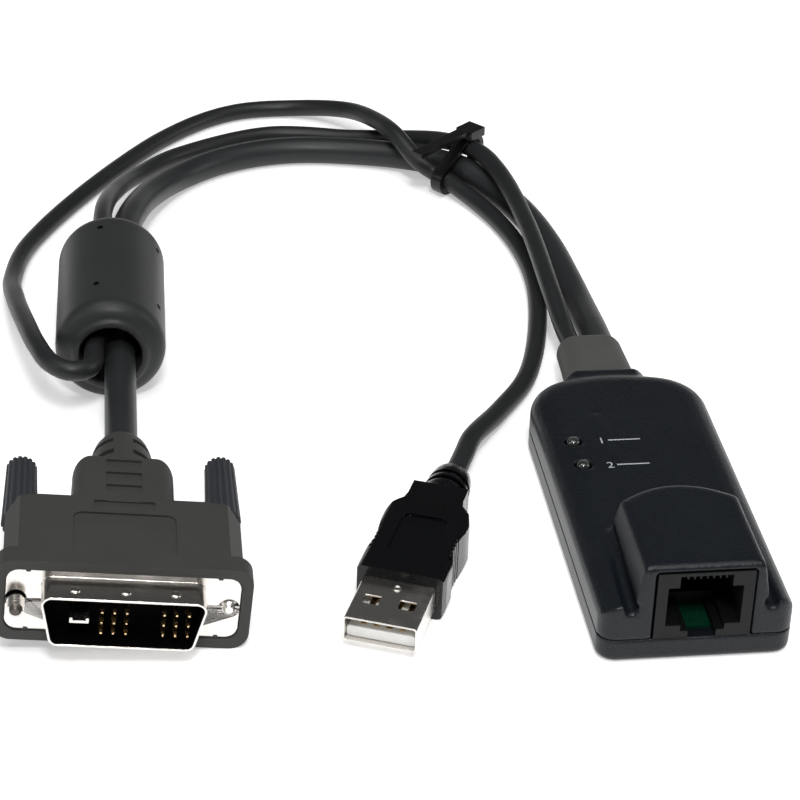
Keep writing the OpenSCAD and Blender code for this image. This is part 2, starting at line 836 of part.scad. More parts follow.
module cord_cores() {
    color([0.8, 0.3, 0.25])
    for (i = [0 : cores - 1])
        translate([boot_x + (i - (cores - 1) / 2) * core_pitch, 0, boot_z])
        bar_y(core_r, core_r, header_y, boot_flange_y);
}

module cable_boot() {
    color([0.55, 0.56, 0.56])
    at_boot() {
        along_y(boot_flange_y, boot_flange_y + boot_flange_t)
            stadium(boot_w + 2 * boot_flange, boot_flange_h);
        along_y(boot_flange_y, wall_y + collar_len) stadium(boot_w, boot_h);
        hull() {
            along_y(wall_y + collar_len, wall_y + collar_len + film) stadium(boot_w, boot_h);
            for (a = [0 : 30 : 90])
                let (back = boot_reach - boot_round * (1 - sin(a)), in = boot_round * (1 - cos(a)))
                along_y(back - film, back) stadium(boot_end_w - 2 * in, boot_h - 2 * in);
        }
    }
}

module video_cord() {
    color([0.33, 0.34, 0.34]) cord(video_route, video_cord_d, video_sides);
}

module usb_cord() {
    color([0.5, 0.51, 0.51]) cord(usb_route, usb_cord_d, usb_sides);
}

module at_ferrite() {
    translate([ferrite_x, ferrite_y, ferrite_d / 2]) rotate([0, 0, ferrite_turn]) children();
}

// A round body along Y of a half outline given as [radius, distance]
module spun(points, n = 64) {
    rotate([-90, 0, 0]) rotate_extrude($fn = n) polygon(points);
}

module ferrite_cover() {
    r = ferrite_d / 2;
    color([0.25, 0.26, 0.27])
    at_ferrite() difference() {
        spun(concat(
            [[ferrite_bore_r, -rim_t], [ferrite_bore_r + rim_out, -rim_t], [ferrite_bore_r + rim_out, 0]],
            arc([r - ferrite_edge, ferrite_edge], ferrite_edge, -90, 0, ferrite_steps),
            arc([r - ferrite_edge, ferrite_len - ferrite_edge], ferrite_edge, 0, 90, ferrite_steps),
            [[ferrite_bore_r + rim_out, ferrite_len], [ferrite_bore_r + rim_out, ferrite_len + rim_t],
                [ferrite_bore_r, ferrite_len + rim_t]]));
        // Chamber of the core
        spun([[ferrite_bore_r + ferrite_wall, ferrite_edge], [r - ferrite_wall, ferrite_edge],
            [r - ferrite_wall, ferrite_len - ferrite_edge],
            [ferrite_bore_r + ferrite_wall, ferrite_len - ferrite_edge]]);
        // Seam where the two halves meet
        for (s = [-1, 1])
            translate([s * r, ferrite_len / 2, 0])
            cube([2 * seam_depth, ferrite_len - 2 * ferrite_edge, seam_w], center = true);
    }
}

module ferrite_core() {
    r = ferrite_d / 2 - ferrite_wall - core_play;
    inner = ferrite_bore_r + ferrite_wall + core_play;
    color([0.3, 0.28, 0.27])
    at_ferrite() spun([[inner, ferrite_edge + core_play], [r, ferrite_edge + core_play],
        [r, ferrite_len - ferrite_edge - core_play], [inner, ferrite_len - ferrite_edge - core_play]]);
}

module tie_loop(out) {
    hull() for (c = tie_held)
        translate([c[0], c[1]]) circle(r = c[2] + tie_gap + out, $fn = 32);
}

module cable_tie() {
    top = tie_held[1][1] + tie_held[1][2] + tie_gap + tie_t;
    color([0.12, 0.12, 0.12])
    translate([tie_x, tie_y, 0]) rotate([0, 0, tie_turn]) {
        along_y(-tie_w / 2, tie_w / 2) difference() {
            tie_loop(tie_t);
            tie_loop(0);
        }
        block(tie_held[1][0], tie_head_len, -tie_head_w / 2, tie_head_w / 2,
            top - tie_t / 2, top + tie_head_h - tie_t);
        block(tie_held[1][0] - tie_head_len / 2 - tie_tail_len / 2, tie_tail_len + over,
            -tie_w / 2, tie_w / 2, top + tie_t / 2, top + tie_t / 2 + tie_t);
    }
}

// Places a piece of the video plug: X to its right, Y to its cord, plate at y = 0
module at_video() {
    translate([video_exit[0], video_exit[1], video_z]) rotate([0, 0, video_turn]) rotate([0, video_roll, 0])
    translate([0, -video_len, 0]) children();
}

// Points of the shell's outline: square shoulders at the top, slanted sides below
function shell_outline(inset) =
    let (r = shell_r - inset, w = shell_w / 2 - inset - r, h = shell_h / 2 - inset - r)
    concat(
        arc([w - shell_slant, -h], r, -90, -shell_tilt, corner_steps),
        arc([w, h], r, 0, 90, corner_steps),
        arc([-w, h], r, 90, 180, corner_steps),
        arc([shell_slant - w, -h], r, 180 + shell_tilt, 270, corner_steps));

// Wedge over the surface at height top, step_depth deep at its back end and run long there
module wedge_cut(w, back, run, top) {
    reach = run * (step_depth + over) / step_depth;
    rotate([90, 0, 90]) linear_extrude(w, center = true)
        polygon([[back, top + over], [back, top - step_depth], [back - reach, top + over]]);
}

module video_overmould() {
    half = grip_w / 2;
    facet = grip_flat_w / 2 + (half - grip_flat_w / 2) * facet_share;
    color([0.32, 0.33, 0.33])
    at_video() difference() {
        union() {
            along_y(-rim_lip, flange_t) round_rect(flange_w, flange_h, flange_r);
            intersection() {
                along_y(flange_t - film, grip_len)
                    polygon([[half, -grip_side_h / 2], [half, grip_side_h / 2],
                        [facet, grip_h / 2 - facet_drop], [grip_flat_w / 2, grip_h / 2],
                        [-grip_flat_w / 2, grip_h / 2], [-facet, grip_h / 2 - facet_drop],
                        [-half, grip_side_h / 2], [-half, -grip_side_h / 2],
                        [-facet, facet_drop - grip_h / 2], [-grip_flat_w / 2, -grip_h / 2],
                        [grip_flat_w / 2, -grip_h / 2], [facet, facet_drop - grip_h / 2]]);
                slab([[-half, 0], [half, 0], [half, grip_len - grip_chamfer],
                    [half - grip_chamfer, grip_len], [grip_chamfer - half, grip_len],
                    [-half, grip_len - grip_chamfer]], -grip_h, grip_h);
            }
            intersection() {
                along_y(grip_len - film, neck_len) round_rect(neck_w, neck_h, neck_round);
                slab(concat([[-neck_w / 2, 0], [neck_w / 2, 0]],
                    arc([neck_w / 2 - neck_round, neck_len - neck_round], neck_round, 0, 90,
                        corner_steps),
                    arc([neck_round - neck_w / 2, neck_len - neck_round], neck_round, 90, 180,
                        corner_steps)),
                    -neck_h, neck_h);
            }
            spun(concat([[0, neck_len - neck_round], [relief_r, neck_len - neck_round]],
                [for (i = [0 : relief_steps])
                    [relief_end_r + (relief_r - relief_end_r) * cos(90 * i / relief_steps),
                        neck_len + (video_len - neck_len) * sin(90 * i / relief_steps)]],
                [[0, video_len]]), 48);
        }
        // Recess of the plate and bay of the insulator
        along_y(-rim_lip - over, plate_t)
            round_rect(flange_w - 2 * rim_w, flange_h - 2 * rim_w, flange_r - rim_w / 2);
        along_y(0, insulator_back)
            round_rect(shell_w - 2 * shell_wall, shell_h - 2 * shell_wall, shell_r);
        // Bores and chambers of the thumbscrews
        for (s = [-1, 1])
            translate([s * screw_span / 2, 0, 0]) {
                bar_y(thread_d / 2 + shank_play, thread_d / 2 + shank_play, -over, grip_len + over);
                bar_y(chamber_r, chamber_r, chamber_y, chamber_y + ring_t + screw_travel + 2 * knob_socket);
            }
        // Panel and grip steps on top
        translate([0, panel_y + panel_len / 2, grip_h / 2 - panel_depth]) linear_extrude(over + panel_depth)
            round_rect(panel_w, panel_len, panel_r);
        wedge_cut(step_w, grip_len - step_t, step_run, grip_h / 2);
        for (i = [1 : small_steps])
            wedge_cut(small_step_w, grip_len + i * step_pitch + step_t, step_run, neck_h / 2);
        // Two rows of slots on each side of the relief
        for (i = [0, 1])
            difference() {
                translate([0, neck_len + relief_slot_y + 2 * i * relief_slot_y, 0])
                    spun([[relief_end_r + relief_slot_t / 4, 0], [relief_r + over, 0],
                        [relief_r + over, relief_slot_t],
                        [relief_end_r + relief_slot_t / 4, relief_slot_t]], 48);
                block(0, relief_bridge, neck_len, video_len, -relief_r - over, relief_r + over);
                block(0, 2 * relief_r + 2 * over, neck_len, video_len,
                    -relief_bridge / 2, relief_bridge / 2);
            }
    }
}

module video_shell() {
    color([0.75, 0.75, 0.74])
    at_video() difference() {
        union() {
            along_y(0, plate_t)
                round_rect(flange_w - 2 * rim_w - 2 * plate_gap, flange_h - 2 * rim_w - 2 * plate_gap,
                    flange_r - rim_w / 2);
            along_y(-shell_len, plate_t) polygon(shell_outline(0));
        }
        along_y(-shell_len - over, plate_t + over) polygon(shell_outline(shell_wall));
        for (s = [-1, 1])
            translate([s * screw_span / 2, 0, 0]) bar_y(plate_hole_r, plate_hole_r, -over, plate_t + over);
    }
}

// Places of the pins as [x, z]
pin_places = [for (i = pin_columns, k = [-1 : 1])
    [pin_middle + (i - column_mid) * pin_pitch, k * pin_pitch]];

module blade_shape(out) {
    square([blade_w + 2 * out, blade_t + 2 * out], center = true);
    for (s = [-1, 1])
        translate([s * (blade_w - blade_t) / 2, blade_lip / 2])
        square([blade_t + 2 * out, blade_lip + 2 * out], center = true);
}

module video_insulator() {
    color([0.06, 0.06, 0.07])
    at_video() difference() {
        union() {
            along_y(insulator_front, plate_t) polygon(shell_outline(shell_wall + slip));
            along_y(plate_t, insulator_back - slip)
                round_rect(shell_w - 2 * shell_wall - 2 * slip, shell_h - 2 * shell_wall - 2 * slip,
                    shell_r);
        }
        for (p = pin_places)
            translate([p[0], 0, p[1]])
            bar_y(pin_d / 2 + slip, pin_d / 2 + slip, insulator_front - over, insulator_back, 16);
        translate([blade_x, 0, 0]) along_y(insulator_front - over, plate_t) blade_shape(slip);
    }
}

module video_pins() {
    color([0.85, 0.7, 0.35])
    at_video() for (p = pin_places)
        translate([p[0], 0, p[1]]) {
            bar_y(pin_d / 2, pin_d / 2, pin_d - pin_tip, insulator_back - slip, 16);
            bar_y(pin_d / 4, pin_d / 2, -pin_tip, pin_d - pin_tip, 16);
        }
}

module video_ground_blade() {
    color([0.85, 0.7, 0.35])
    at_video() translate([blade_x, 0, 0]) along_y(-pin_tip, plate_t) blade_shape(0);
}

// Thumbscrews: the left one rests forward, the right one back
module at_screw(side) {
    at_video() translate([side * screw_span / 2, side > 0 ? screw_travel : 0, 0]) children();
}

// A fluted knob with a plain bore for its shank
module knob() {
    foot = grip_len + knob_gap;
    difference() {
        bar_y(knob_d / 2, knob_end_d / 2, foot, foot + knob_len, 96);
        for (i = [0 : flutes - 1])
            rotate([0, 360 * i / flutes, 0])
            translate([0, foot + knob_len / 2, knob_d / 4 + knob_end_d / 4])
            rotate([-atan((knob_d - knob_end_d) / 2 / knob_len), 0, 0])
            rotate([0, 45, 0])
            cube([flute_r, 2 * knob_len, flute_r], center = true);
        bar_y(thread_d / 2 - thread_step, thread_d / 2 - thread_step, foot - over, foot + knob_len / 2);
    }
}

// A threaded shank with a groove for its retaining ring
module shank() {
    neck_y = chamber_y + knob_socket - slip;
    r = thread_d / 2 - thread_step;
    spun([[0, -tip_rise], [r / 2, -tip_rise], [thread_d / 2, tip_len - tip_rise],
        [thread_d / 2, thread_rear], [r, thread_rear], [r, neck_y], [r - groove_cut, neck_y],
        [r - groove_cut, neck_y + ring_t + 2 * slip], [r, neck_y + ring_t + 2 * slip],
        [r, grip_len + knob_gap + knob_len / 2], [0, grip_len + knob_gap + knob_len / 2]], 32);
}

// The ring that keeps a thumbscrew in the plug
module retaining_ring() {
    y = chamber_y + knob_socket;
    r = thread_d / 2 - thread_step - groove_cut + shank_play;
    spun([[r, y], [ring_r, y], [ring_r, y + ring_t], [r, y + ring_t]], 32);
}

module left_thumb_knob() {
    color([0.36, 0.37, 0.38]) at_screw(-1) knob();
}

module left_screw_shank() {
    color([0.7, 0.7, 0.7]) at_screw(-1) shank();
}

module left_retaining_ring() {
    color([0.6, 0.6, 0.6]) at_screw(-1) retaining_ring();
}

module right_thumb_knob() {
    color([0.36, 0.37, 0.38]) at_screw(1) knob();
}

module right_screw_shank() {
    color([0.7, 0.7, 0.7]) at_screw(1) shank();
}

module right_retaining_ring() {
    color([0.6, 0.6, 0.6]) at_screw(1) retaining_ring();
}

// Places a piece of the USB plug: X to its right, Y to its cord, mouth of the shell at y = 0
module at_usb() {
    translate(usb_exit) rotate([0, 0, usb_turn]) translate([0, -usb_len, 0]) children();
}

// Plan outline of the overmould
function mould_outline() =
    let (l = mould_end - usb_shell_len)
    concat(
        [for (s = mould_shares) [mould_w / 2 * s[0], usb_shell_len + l * s[1]]],
        [for (i = [len(mould_shares) - 1 : -1 : 0])
            [-mould_w / 2 * mould_shares[i][0], usb_shell_len + l * mould_shares[i][1]]]);

module usb_overmould() {
    color([0.32, 0.33, 0.33])
    at_usb() difference() {
        union() {
            intersection() {
                slab(mould_outline(), -mould_h / 2, mould_h / 2);
                along_y(usb_shell_len, mould_end) round_rect(mould_w, mould_h, mould_edge);
            }
            spun(concat([[0, mould_end - over], [usb_relief_r, mould_end - over]],
                [for (i = [0 : usb_relief_steps])
                    [usb_relief_end_r + (usb_relief_r - usb_relief_end_r) * cos(90 * i / usb_relief_steps),
                        mould_end + (usb_len - mould_end) * sin(90 * i / usb_relief_steps)]],
                [[0, usb_len]]), 48);
        }
        // Socket of the metal shell
        along_y(usb_shell_len - over, usb_shell_len + usb_shell_in)
            round_rect(usb_w + 2 * slip, usb_h + 2 * slip, usb_shell_r);
        // Side grips and top panel
        for (i = [0 : grip_teeth - 1], s = [-1, 1])
            translate([s * mould_w / 2 * mould_shares[4][0], grip_start + i * grip_pitch, 0])
            rotate([0, 0, 45]) cube([grip_tooth, grip_tooth, mould_h + 2 * over], center = true);
        translate([0, usb_panel_y + usb_panel_len / 2, mould_h / 2 - usb_panel_depth])
            linear_extrude(over + usb_panel_depth) round_rect(usb_panel_w, usb_panel_len, mould_edge);
        // Two rings cut round the relief
        for (i = [1, 2])
            translate([0, mould_end + i * (usb_len - mould_end) / 4, 0])
            spun([[usb_relief_end_r + usb_ring_cut / 2, 0], [usb_relief_r + over, 0],
                [usb_relief_r + over, usb_ring_t], [usb_relief_end_r + usb_ring_cut / 2, usb_ring_t]], 48);
    }
}

module usb_shell() {
    color([0.78, 0.78, 0.77])
    at_usb() difference() {
        along_y(0, usb_shell_len + usb_shell_in) round_rect(usb_w, usb_h, usb_shell_r);
        along_y(-over, usb_shell_len + usb_shell_in + over)
            round_rect(usb_w - 2 * usb_wall, usb_h - 2 * usb_wall, usb_shell_r - usb_wall / 2);
        for (s = [-1, 1], t = [-1, 1])
            block(s * window_x, window_w, window_y, window_y + window_len, t * usb_h / 2 - usb_wall - slip,
                t * usb_h / 2 + usb_wall + slip);
    }
}

module usb_tongue() {
    low = usb_wall + slip - usb_h / 2;
    color([0.92, 0.92, 0.9])
    at_usb() translate([0, 0, low + tongue_t / 2]) along_y(tongue_front, usb_shell_len + usb_shell_in)
        round_rect(usb_w - 2 * usb_wall - 2 * slip, tongue_t, usb_shell_r);
}

module usb_contacts() {
    top = usb_wall + slip - usb_h / 2 + tongue_t;
    color([0.85, 0.7, 0.35])
    at_usb() for (i = [0 : usb_pins - 1])
        block((i - (usb_pins - 1) / 2) * contact_step, contact_w, tongue_front + contact_w, usb_shell_len,
            top, top + contact_h);
}

top_cover();
bottom_cover();
cover_screws();
circuit_board();
jack_housing();
jack_contacts();
power_lamp();
active_lamp();
lamp_leads();
main_chip();
memory_chip();
line_transformer();
crystal();
capacitors();
cable_header();
cord_cores();
cable_boot();
video_cord();
usb_cord();
ferrite_cover();
ferrite_core();
cable_tie();
video_overmould();
video_shell();
video_insulator();
video_pins();
video_ground_blade();
left_thumb_knob();
left_screw_shank();
left_retaining_ring();
right_thumb_knob();
right_screw_shank();
right_retaining_ring();
usb_overmould();
usb_shell();
usb_tongue();
usb_contacts();
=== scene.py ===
import math

import bpy
from mathutils import Matrix, Vector


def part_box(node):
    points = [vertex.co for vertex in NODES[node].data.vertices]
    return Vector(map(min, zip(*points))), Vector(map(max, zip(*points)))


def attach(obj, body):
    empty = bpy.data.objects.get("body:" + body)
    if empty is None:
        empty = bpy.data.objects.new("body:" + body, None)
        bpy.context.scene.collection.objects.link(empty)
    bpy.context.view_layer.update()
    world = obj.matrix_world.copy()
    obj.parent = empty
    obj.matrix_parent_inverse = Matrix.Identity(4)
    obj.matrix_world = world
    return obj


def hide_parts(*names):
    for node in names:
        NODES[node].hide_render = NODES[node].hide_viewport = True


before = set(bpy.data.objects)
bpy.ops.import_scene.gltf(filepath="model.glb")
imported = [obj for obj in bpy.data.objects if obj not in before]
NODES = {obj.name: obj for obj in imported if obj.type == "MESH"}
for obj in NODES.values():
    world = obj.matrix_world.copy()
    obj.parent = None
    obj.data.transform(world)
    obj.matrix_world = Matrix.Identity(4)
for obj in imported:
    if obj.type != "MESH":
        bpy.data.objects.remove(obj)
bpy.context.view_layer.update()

bl_info = {
    "name": "Server interface module",
    "version": (1, 0, 0),
    "blender": (4, 5, 0),
    "location": "3D Viewport > Sidebar > Module",
    "description": "Looks of a keyboard, video and mouse server interface module",
    "category": "Object",
}

MM = 0.001

# Middle points of the cords, in millimetres, as the part's source gives them
VIDEO_ROUTE = [
    (2, 51.5, 5.5), (2.2, 60, 4.6), (2.3, 73, 3), (1.7, 86, 2.8), (0.6, 99, 2.8), (-2, 112, 2.9),
    (-6, 122, 3.2), (-11.3, 129.8, 4.1), (-20, 137.3, 3.5), (-33, 142.6, 2.9), (-47, 144.2, 2.8),
    (-60, 140.6, 2.8), (-70.5, 132.5, 3.1), (-77.4, 121, 5), (-81.6, 107.5, 7.4), (-83.9, 96, 8.3),
    (-84.8, 85, 8.4), (-85.6, 67, 8.4), (-86.5, 48.5, 8.4), (-87, 36, 8.8), (-87.5, 23, 8.8),
    (-87.711, 17.504, 8.8)]
USB_ROUTE = [
    (-3, 51.5, 5.5), (-3.3, 60, 5.4), (-3.8, 72, 7.2), (-4.1, 96, 8.4), (-6, 119.5, 8.7),
    (-9, 129.8, 8.6), (-14.8, 138.4, 7), (-23, 146.2, 4), (-33, 151.2, 2), (-50, 154, 1.9),
    (-70, 144.6, 2.1), (-79, 133, 3.6), (-84.3, 118.5, 7.4), (-87.3, 102, 11.4), (-88, 85, 12.6),
    (-89.7, 58, 12.1), (-91.1, 48, 10.9), (-91.4, 43.8, 11), (-93, 41.2, 11.2), (-96, 40.6, 11.5),
    (-98.9, 43.4, 11.6), (-101.2, 50.5, 11.2), (-103.2, 62.5, 9.4), (-104.8, 76, 6.6),
    (-105.3, 90, 3.4), (-101.2, 108.5, 1.9), (-73, 153, 1.9), (-57, 165.5, 1.9), (-43, 166.5, 2.2),
    (-33, 158.5, 5.2), (-28, 147.5, 7.8), (-25, 138, 8.8), (-20.8, 131, 5.8), (-14.9, 126.4, 3.2),
    (-7.4, 111, 1.9), (-4.4, 93, 1.9), (-5.6, 74, 1.9), (-12, 49, 1.9), (-19.5, 36, 2.4),
    (-26.2, 25, 4), (-28.5, 19.5, 4), (-31.56, 12.11, 4)]


def place(x, y, z, turn=0.0, roll=0.0, back=0.0):
    """Where a plug or sleeve stands: its own Y runs along the cord. Lengths in millimetres."""
    return (Matrix.Translation(Vector((x, y, z)) * MM) @ Matrix.Rotation(math.radians(turn), 4, "Z")
            @ Matrix.Rotation(math.radians(roll), 4, "Y") @ Matrix.Translation((0, -back * MM, 0)))


AT_VIDEO = place(-87.711, 17.504, 8.9147, -2.2, 5, 44.5)
AT_USB = place(-31.56, 12.11, 4, -22.5, 0, 47.5)
AT_FERRITE = place(-88.2, 48.5, 9.9, -2.67)

# Where small forms are, in millimetres. A dimple of the ferrite, a disc of painted shade, has its place
# along it, and in degrees round it. A screw has its name, its side and how far back it stands at rest.
LUGS_ACROSS = (-17.6, -14.8, 14.8, 17.4)
BUMPS_ACROSS = (-7.6, 0.2, 7.8)
FERRITE_MARKS = ((8.9, -14), (30.5, -11), (8.9, 62), (30.5, 62), (8.9, 180), (30.5, 180))
SCREWS = (("left", -1, 0.0), ("right", 1, 3.0))

# Sizes of small forms, in metres
DECK_HEIGHT = 0.0107
MARK_FROM_AXIS = 0.00944
SCREW_OFFSET = 0.0165
KNOB_RADIUS = 0.00295
KNOB_LENGTH = 0.0165
KNOB_MIDDLE = 0.02905
KNOB_DISH = 0.0005
THREAD_RADIUS = 0.00141
THREAD_TIP = -0.0031
THREAD_TURNS = 4
POINTS_PER_FLUTE = 6

# What is left of a knob's radius in a groove and at its free end, and of a shank's between its ridges
GROOVE_SHARE = 0.885
TAPER_SHARE = 0.865
VALLEY_SHARE = 0.80

# Name, place, size and share of the main power of each lamp, and the point that all of them face
LAMPS = (
    ("lamp_over", (-0.10, -0.10, 1.10), (1.1, 0.8), 1.6),
    ("lamp_key", (-0.08, -0.60, 0.85), (0.16, 0.16), 1.0),
    ("lamp_left", (-0.95, -0.15, 0.45), (0.4, 0.4), 0.22),
    ("lamp_right", (0.85, 0.05, 0.40), (0.3, 0.4), 0.30),
    ("lamp_back", (0.25, 1.30, 0.10), (1.6, 0.16), 0.16))
LAMP_TARGET = (-0.040, 0.045, 0.005)
ROOM_LIGHT = 0.06

# The camera that was fitted to the photograph: its place, and its turn, tilt and lean in degrees
CAMERA_PLACE = (-0.1006, -0.3712, 0.2532)
CAMERA_TURN = 8.808
CAMERA_TILT = 31
CAMERA_LEAN = -2.34
SENSOR_WIDTH = 36


# Sizes and colours

def length(name, description, default, low, high):
    """A length that the panel shows, in metres."""
    return bpy.props.FloatProperty(name=name, description=description, default=default, min=low,
                                   max=high, precision=5, subtype="DISTANCE", unit="LENGTH")


def colour(name, description, default):
    """A colour that the panel shows."""
    return bpy.props.FloatVectorProperty(name=name, description=description, default=default,
                                         size=3, min=0, max=1, subtype="COLOR")


class HousingLook(bpy.types.PropertyGroup):
    cover: colour("Cover colour", "Colour of the two halves of the housing", (0.0050, 0.0068, 0.0096))
    jack: colour("Jack colour", "Colour of the network jack", (0.0035, 0.0038, 0.0045))
    board: colour("Board colour", "Colour of the circuit board", (0.0008, 0.030, 0.014))
    mark: colour("Mark colour", "Colour of the marks beside the lamps", (0.42, 0.44, 0.45))
    grain: length("Grain", "Size of one grain of the cover's fine texture", 0.00024, 0.0001, 0.002)
    wall_step: length("Wall step", "Size of the small faces that the covers are built of", 0.00032,
                      0.00025, 0.001)
    softness: bpy.props.IntProperty(
        name="Softness", description="How far the covers' edges are rounded", default=10, min=1, max=40)
    mark_height: length("Mark height", "Height of the numerals beside the lamps", 0.0019, 0.001, 0.004)
    lens: length("Lens radius", "Radius of a lamp's lens", 0.00115, 0.0005, 0.00145)


class CordLook(bpy.types.PropertyGroup):
    video: colour("Video cord colour", "Colour of the thick cord", (0.019, 0.020, 0.021))
    usb: colour("USB cord colour", "Colour of the thin cord", (0.0155, 0.0162, 0.0170))
    boot: colour("Boot colour", "Colour of the boot at the housing", (0.070, 0.070, 0.067))
    ferrite: colour("Ferrite colour", "Colour of the ferrite's cover", (0.024, 0.025, 0.025))
    tie: colour("Tie colour", "Colour of the cable tie", (0.0025, 0.0025, 0.003))
    video_diameter: length("Video cord diameter", "Diameter of the thick cord", 0.0056, 0.003, 0.0058)
    usb_diameter: length("USB cord diameter", "Diameter of the thin cord", 0.0036, 0.002, 0.0038)
    step: length("Step", "Distance between the points of a cord", 0.0015, 0.001, 0.006)
    dimple: length("Dimple radius", "Radius of the round marks in the ferrite's cover", 0.00055,
                   0.0003, 0.001)


class PlugLook(bpy.types.PropertyGroup):
    overmould: colour("Video plug colour", "Colour of the video plug's overmould", (0.042, 0.042, 0.040))
    usb_overmould: colour("USB plug colour", "Colour of the USB plug's overmould",
                          (0.0012, 0.0014, 0.0020))
    knob: colour("Knob colour", "Colour of the thumbscrews' knobs", (0.034, 0.036, 0.041))
    metal: colour("Shell colour", "Colour of the metal shells", (0.80, 0.77, 0.73))
    contact: colour("Contact colour", "Colour of the gold contacts", (0.90, 0.66, 0.36))
    edge: length("Edge radius", "Radius of the overmoulds' edges", 0.00035, 0.0001, 0.001)
    thread_pitch: length("Thread pitch", "Distance between two turns of the thread", 0.00064,
                         0.0004, 0.001)
    flutes: bpy.props.IntProperty(name="Flutes", description="Number of flutes round a knob",
                                  default=16, min=8, max=24)


class StageLook(bpy.types.PropertyGroup):
    floor: colour("Floor colour", "Colour of the floor", (0.90, 0.90, 0.90))
    floor_size: length("Floor size", "Width of the floor", 6.0, 1.0, 20.0)
    lens: bpy.props.FloatProperty(name="Lens", description="Focal length of the camera",
                                  default=0.1215, min=0.02, max=0.3, subtype="DISTANCE_CAMERA",
                                  unit="CAMERA")
    lamp: bpy.props.FloatProperty(name="Lamp power", description="Power of the main lamp",
                                  default=5.0, min=0, max=100, unit="POWER")


# Making shapes

def clear_selection():
    """Ends editing and leaves nothing selected."""
    if bpy.context.object and bpy.context.object.mode != "OBJECT":
        bpy.ops.object.mode_set(mode="OBJECT")
    bpy.ops.object.select_all(action="DESELECT")


def pick(piece):
    """Leaves only this piece selected and active."""
    clear_selection()
    piece.select_set(True)
    bpy.context.view_layer.objects.active = piece


def edit(piece, mode="FACE"):
    """Opens a piece for editing with nothing selected."""
    pick(piece)
    bpy.ops.object.mode_set(mode="EDIT")
    bpy.ops.mesh.select_mode(type=mode)
    bpy.ops.mesh.select_all(action="DESELECT")


def choose(piece, mode, test):
    """Selects the faces, edges or points of an open piece that pass a test."""
    bpy.ops.object.mode_set(mode="OBJECT")
    mesh = piece.data
    for part in (mesh.vertices, mesh.edges, mesh.polygons):
        part.foreach_set("select", [False] * len(part))
    part = {"FACE": mesh.polygons, "EDGE": mesh.edges, "VERT": mesh.vertices}[mode]
    for item in part:
        item.select = bool(test(item))
    bpy.ops.object.mode_set(mode="EDIT")
    bpy.ops.mesh.select_mode(type=mode)


def close():
    """Ends editing."""
    bpy.ops.object.mode_set(mode="OBJECT")


def named(name):
    """The piece that was just added, under its own name."""
    piece = bpy.context.object
    piece.name = name
    piece.data.name = name
    return piece


def apply_modifier(piece, kind, **settings):
    """Adds a modifier with these settings and writes its result into the mesh."""
    pick(piece)
    modifier = piece.modifiers.new(kind.title(), kind)
    for key, value in settings.items():
        setattr(modifier, key, value)
    bpy.ops.object.modifier_apply(modifier=modifier.name)


def settle(piece, matrix=None):
    """Puts a piece at its place and writes the place into its mesh."""
    if matrix is not None:
        piece.matrix_world = matrix @ piece.matrix_world
    pick(piece)
    bpy.ops.object.transform_apply(location=True, rotation=True, scale=True)


def stretch(piece, factors):
    """Scales a whole piece round its own middle."""
    edit(piece)
    bpy.ops.mesh.select_all(action="SELECT")
    bpy.ops.transform.resize(value=factors)
    close()
    settle(piece)


def copy_of(node, name, flat=0.5, merge=0.000002):
    """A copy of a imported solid's mesh. Faces that meet at less than flat degrees become one."""
    mesh = NODES[node].data.copy()
    mesh.materials.clear()
    piece = bpy.data.objects.new(name, mesh)
    mesh.name = name
    bpy.context.scene.collection.objects.link(piece)
    edit(piece)
    bpy.ops.mesh.select_all(action="SELECT")
    bpy.ops.mesh.remove_doubles(threshold=merge)
    bpy.ops.mesh.dissolve_limited(angle_limit=math.radians(flat))
    close()
    return piece


def round_edges(piece, width, segments=2, angle=30):
    """Rounds the edges where faces meet at more than angle degrees."""
    apply_modifier(piece, "BEVEL", width=width, segments=segments, limit_method="ANGLE",
                   angle_limit=math.radians(angle), miter_outer="MITER_ARC", harden_normals=False)


def shade(piece, angle=35):
    """Smooth shading, with edges of more than angle degrees left sharp."""
    pick(piece)
    bpy.ops.object.shade_smooth_by_angle(angle=math.radians(angle))
    apply_modifier(piece, "WEIGHTED_NORMAL", keep_sharp=True)


def rounded_copy(node, name, width, segments=2, angle=30, smooth=35, **merging):
    """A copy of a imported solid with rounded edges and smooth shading."""
    piece = copy_of(node, name, **merging)
    round_edges(piece, width, segments, angle)
    shade(piece, smooth)
    return piece


def soften(piece, step, passes, hold):
    """Builds a wall of small even faces and rounds its edges. hold says how much of a point stays sharp."""
    apply_modifier(piece, "REMESH", mode="VOXEL", voxel_size=step)
    group = piece.vertex_groups.new(name="soft")
    shares = {}
    for vertex in piece.data.vertices:
        share = round(1 - hold(vertex.co / MM), 1)
        if share > 0:
            shares.setdefault(share, []).append(vertex.index)
    for share, members in shares.items():
        group.add(members, share, "REPLACE")
    apply_modifier(piece, "SMOOTH", factor=0.5, iterations=passes, vertex_group="soft")
    piece.vertex_groups.clear()
    pick(piece)
    bpy.ops.object.shade_smooth()


def join(pieces, name):
    """Makes several pieces into one."""
    pick(pieces[0])
    for piece in pieces[1:]:
        piece.select_set(True)
    bpy.ops.object.join()
    return named(name)


def finish_piece(piece, material, nodes=(), body="module"):
    """Gives a piece its finish, its body, and the solids that it stands for."""
    piece.data.materials.clear()
    piece.data.materials.append(material)
    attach(piece, body)
    if nodes:
        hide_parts(*nodes)
    clear_selection()


def dress(node, material):
    """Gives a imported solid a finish."""
    solid = NODES[node]
    if not solid.material_slots:
        solid.data.materials.append(material)
    for row in solid.material_slots:
        row.material = material


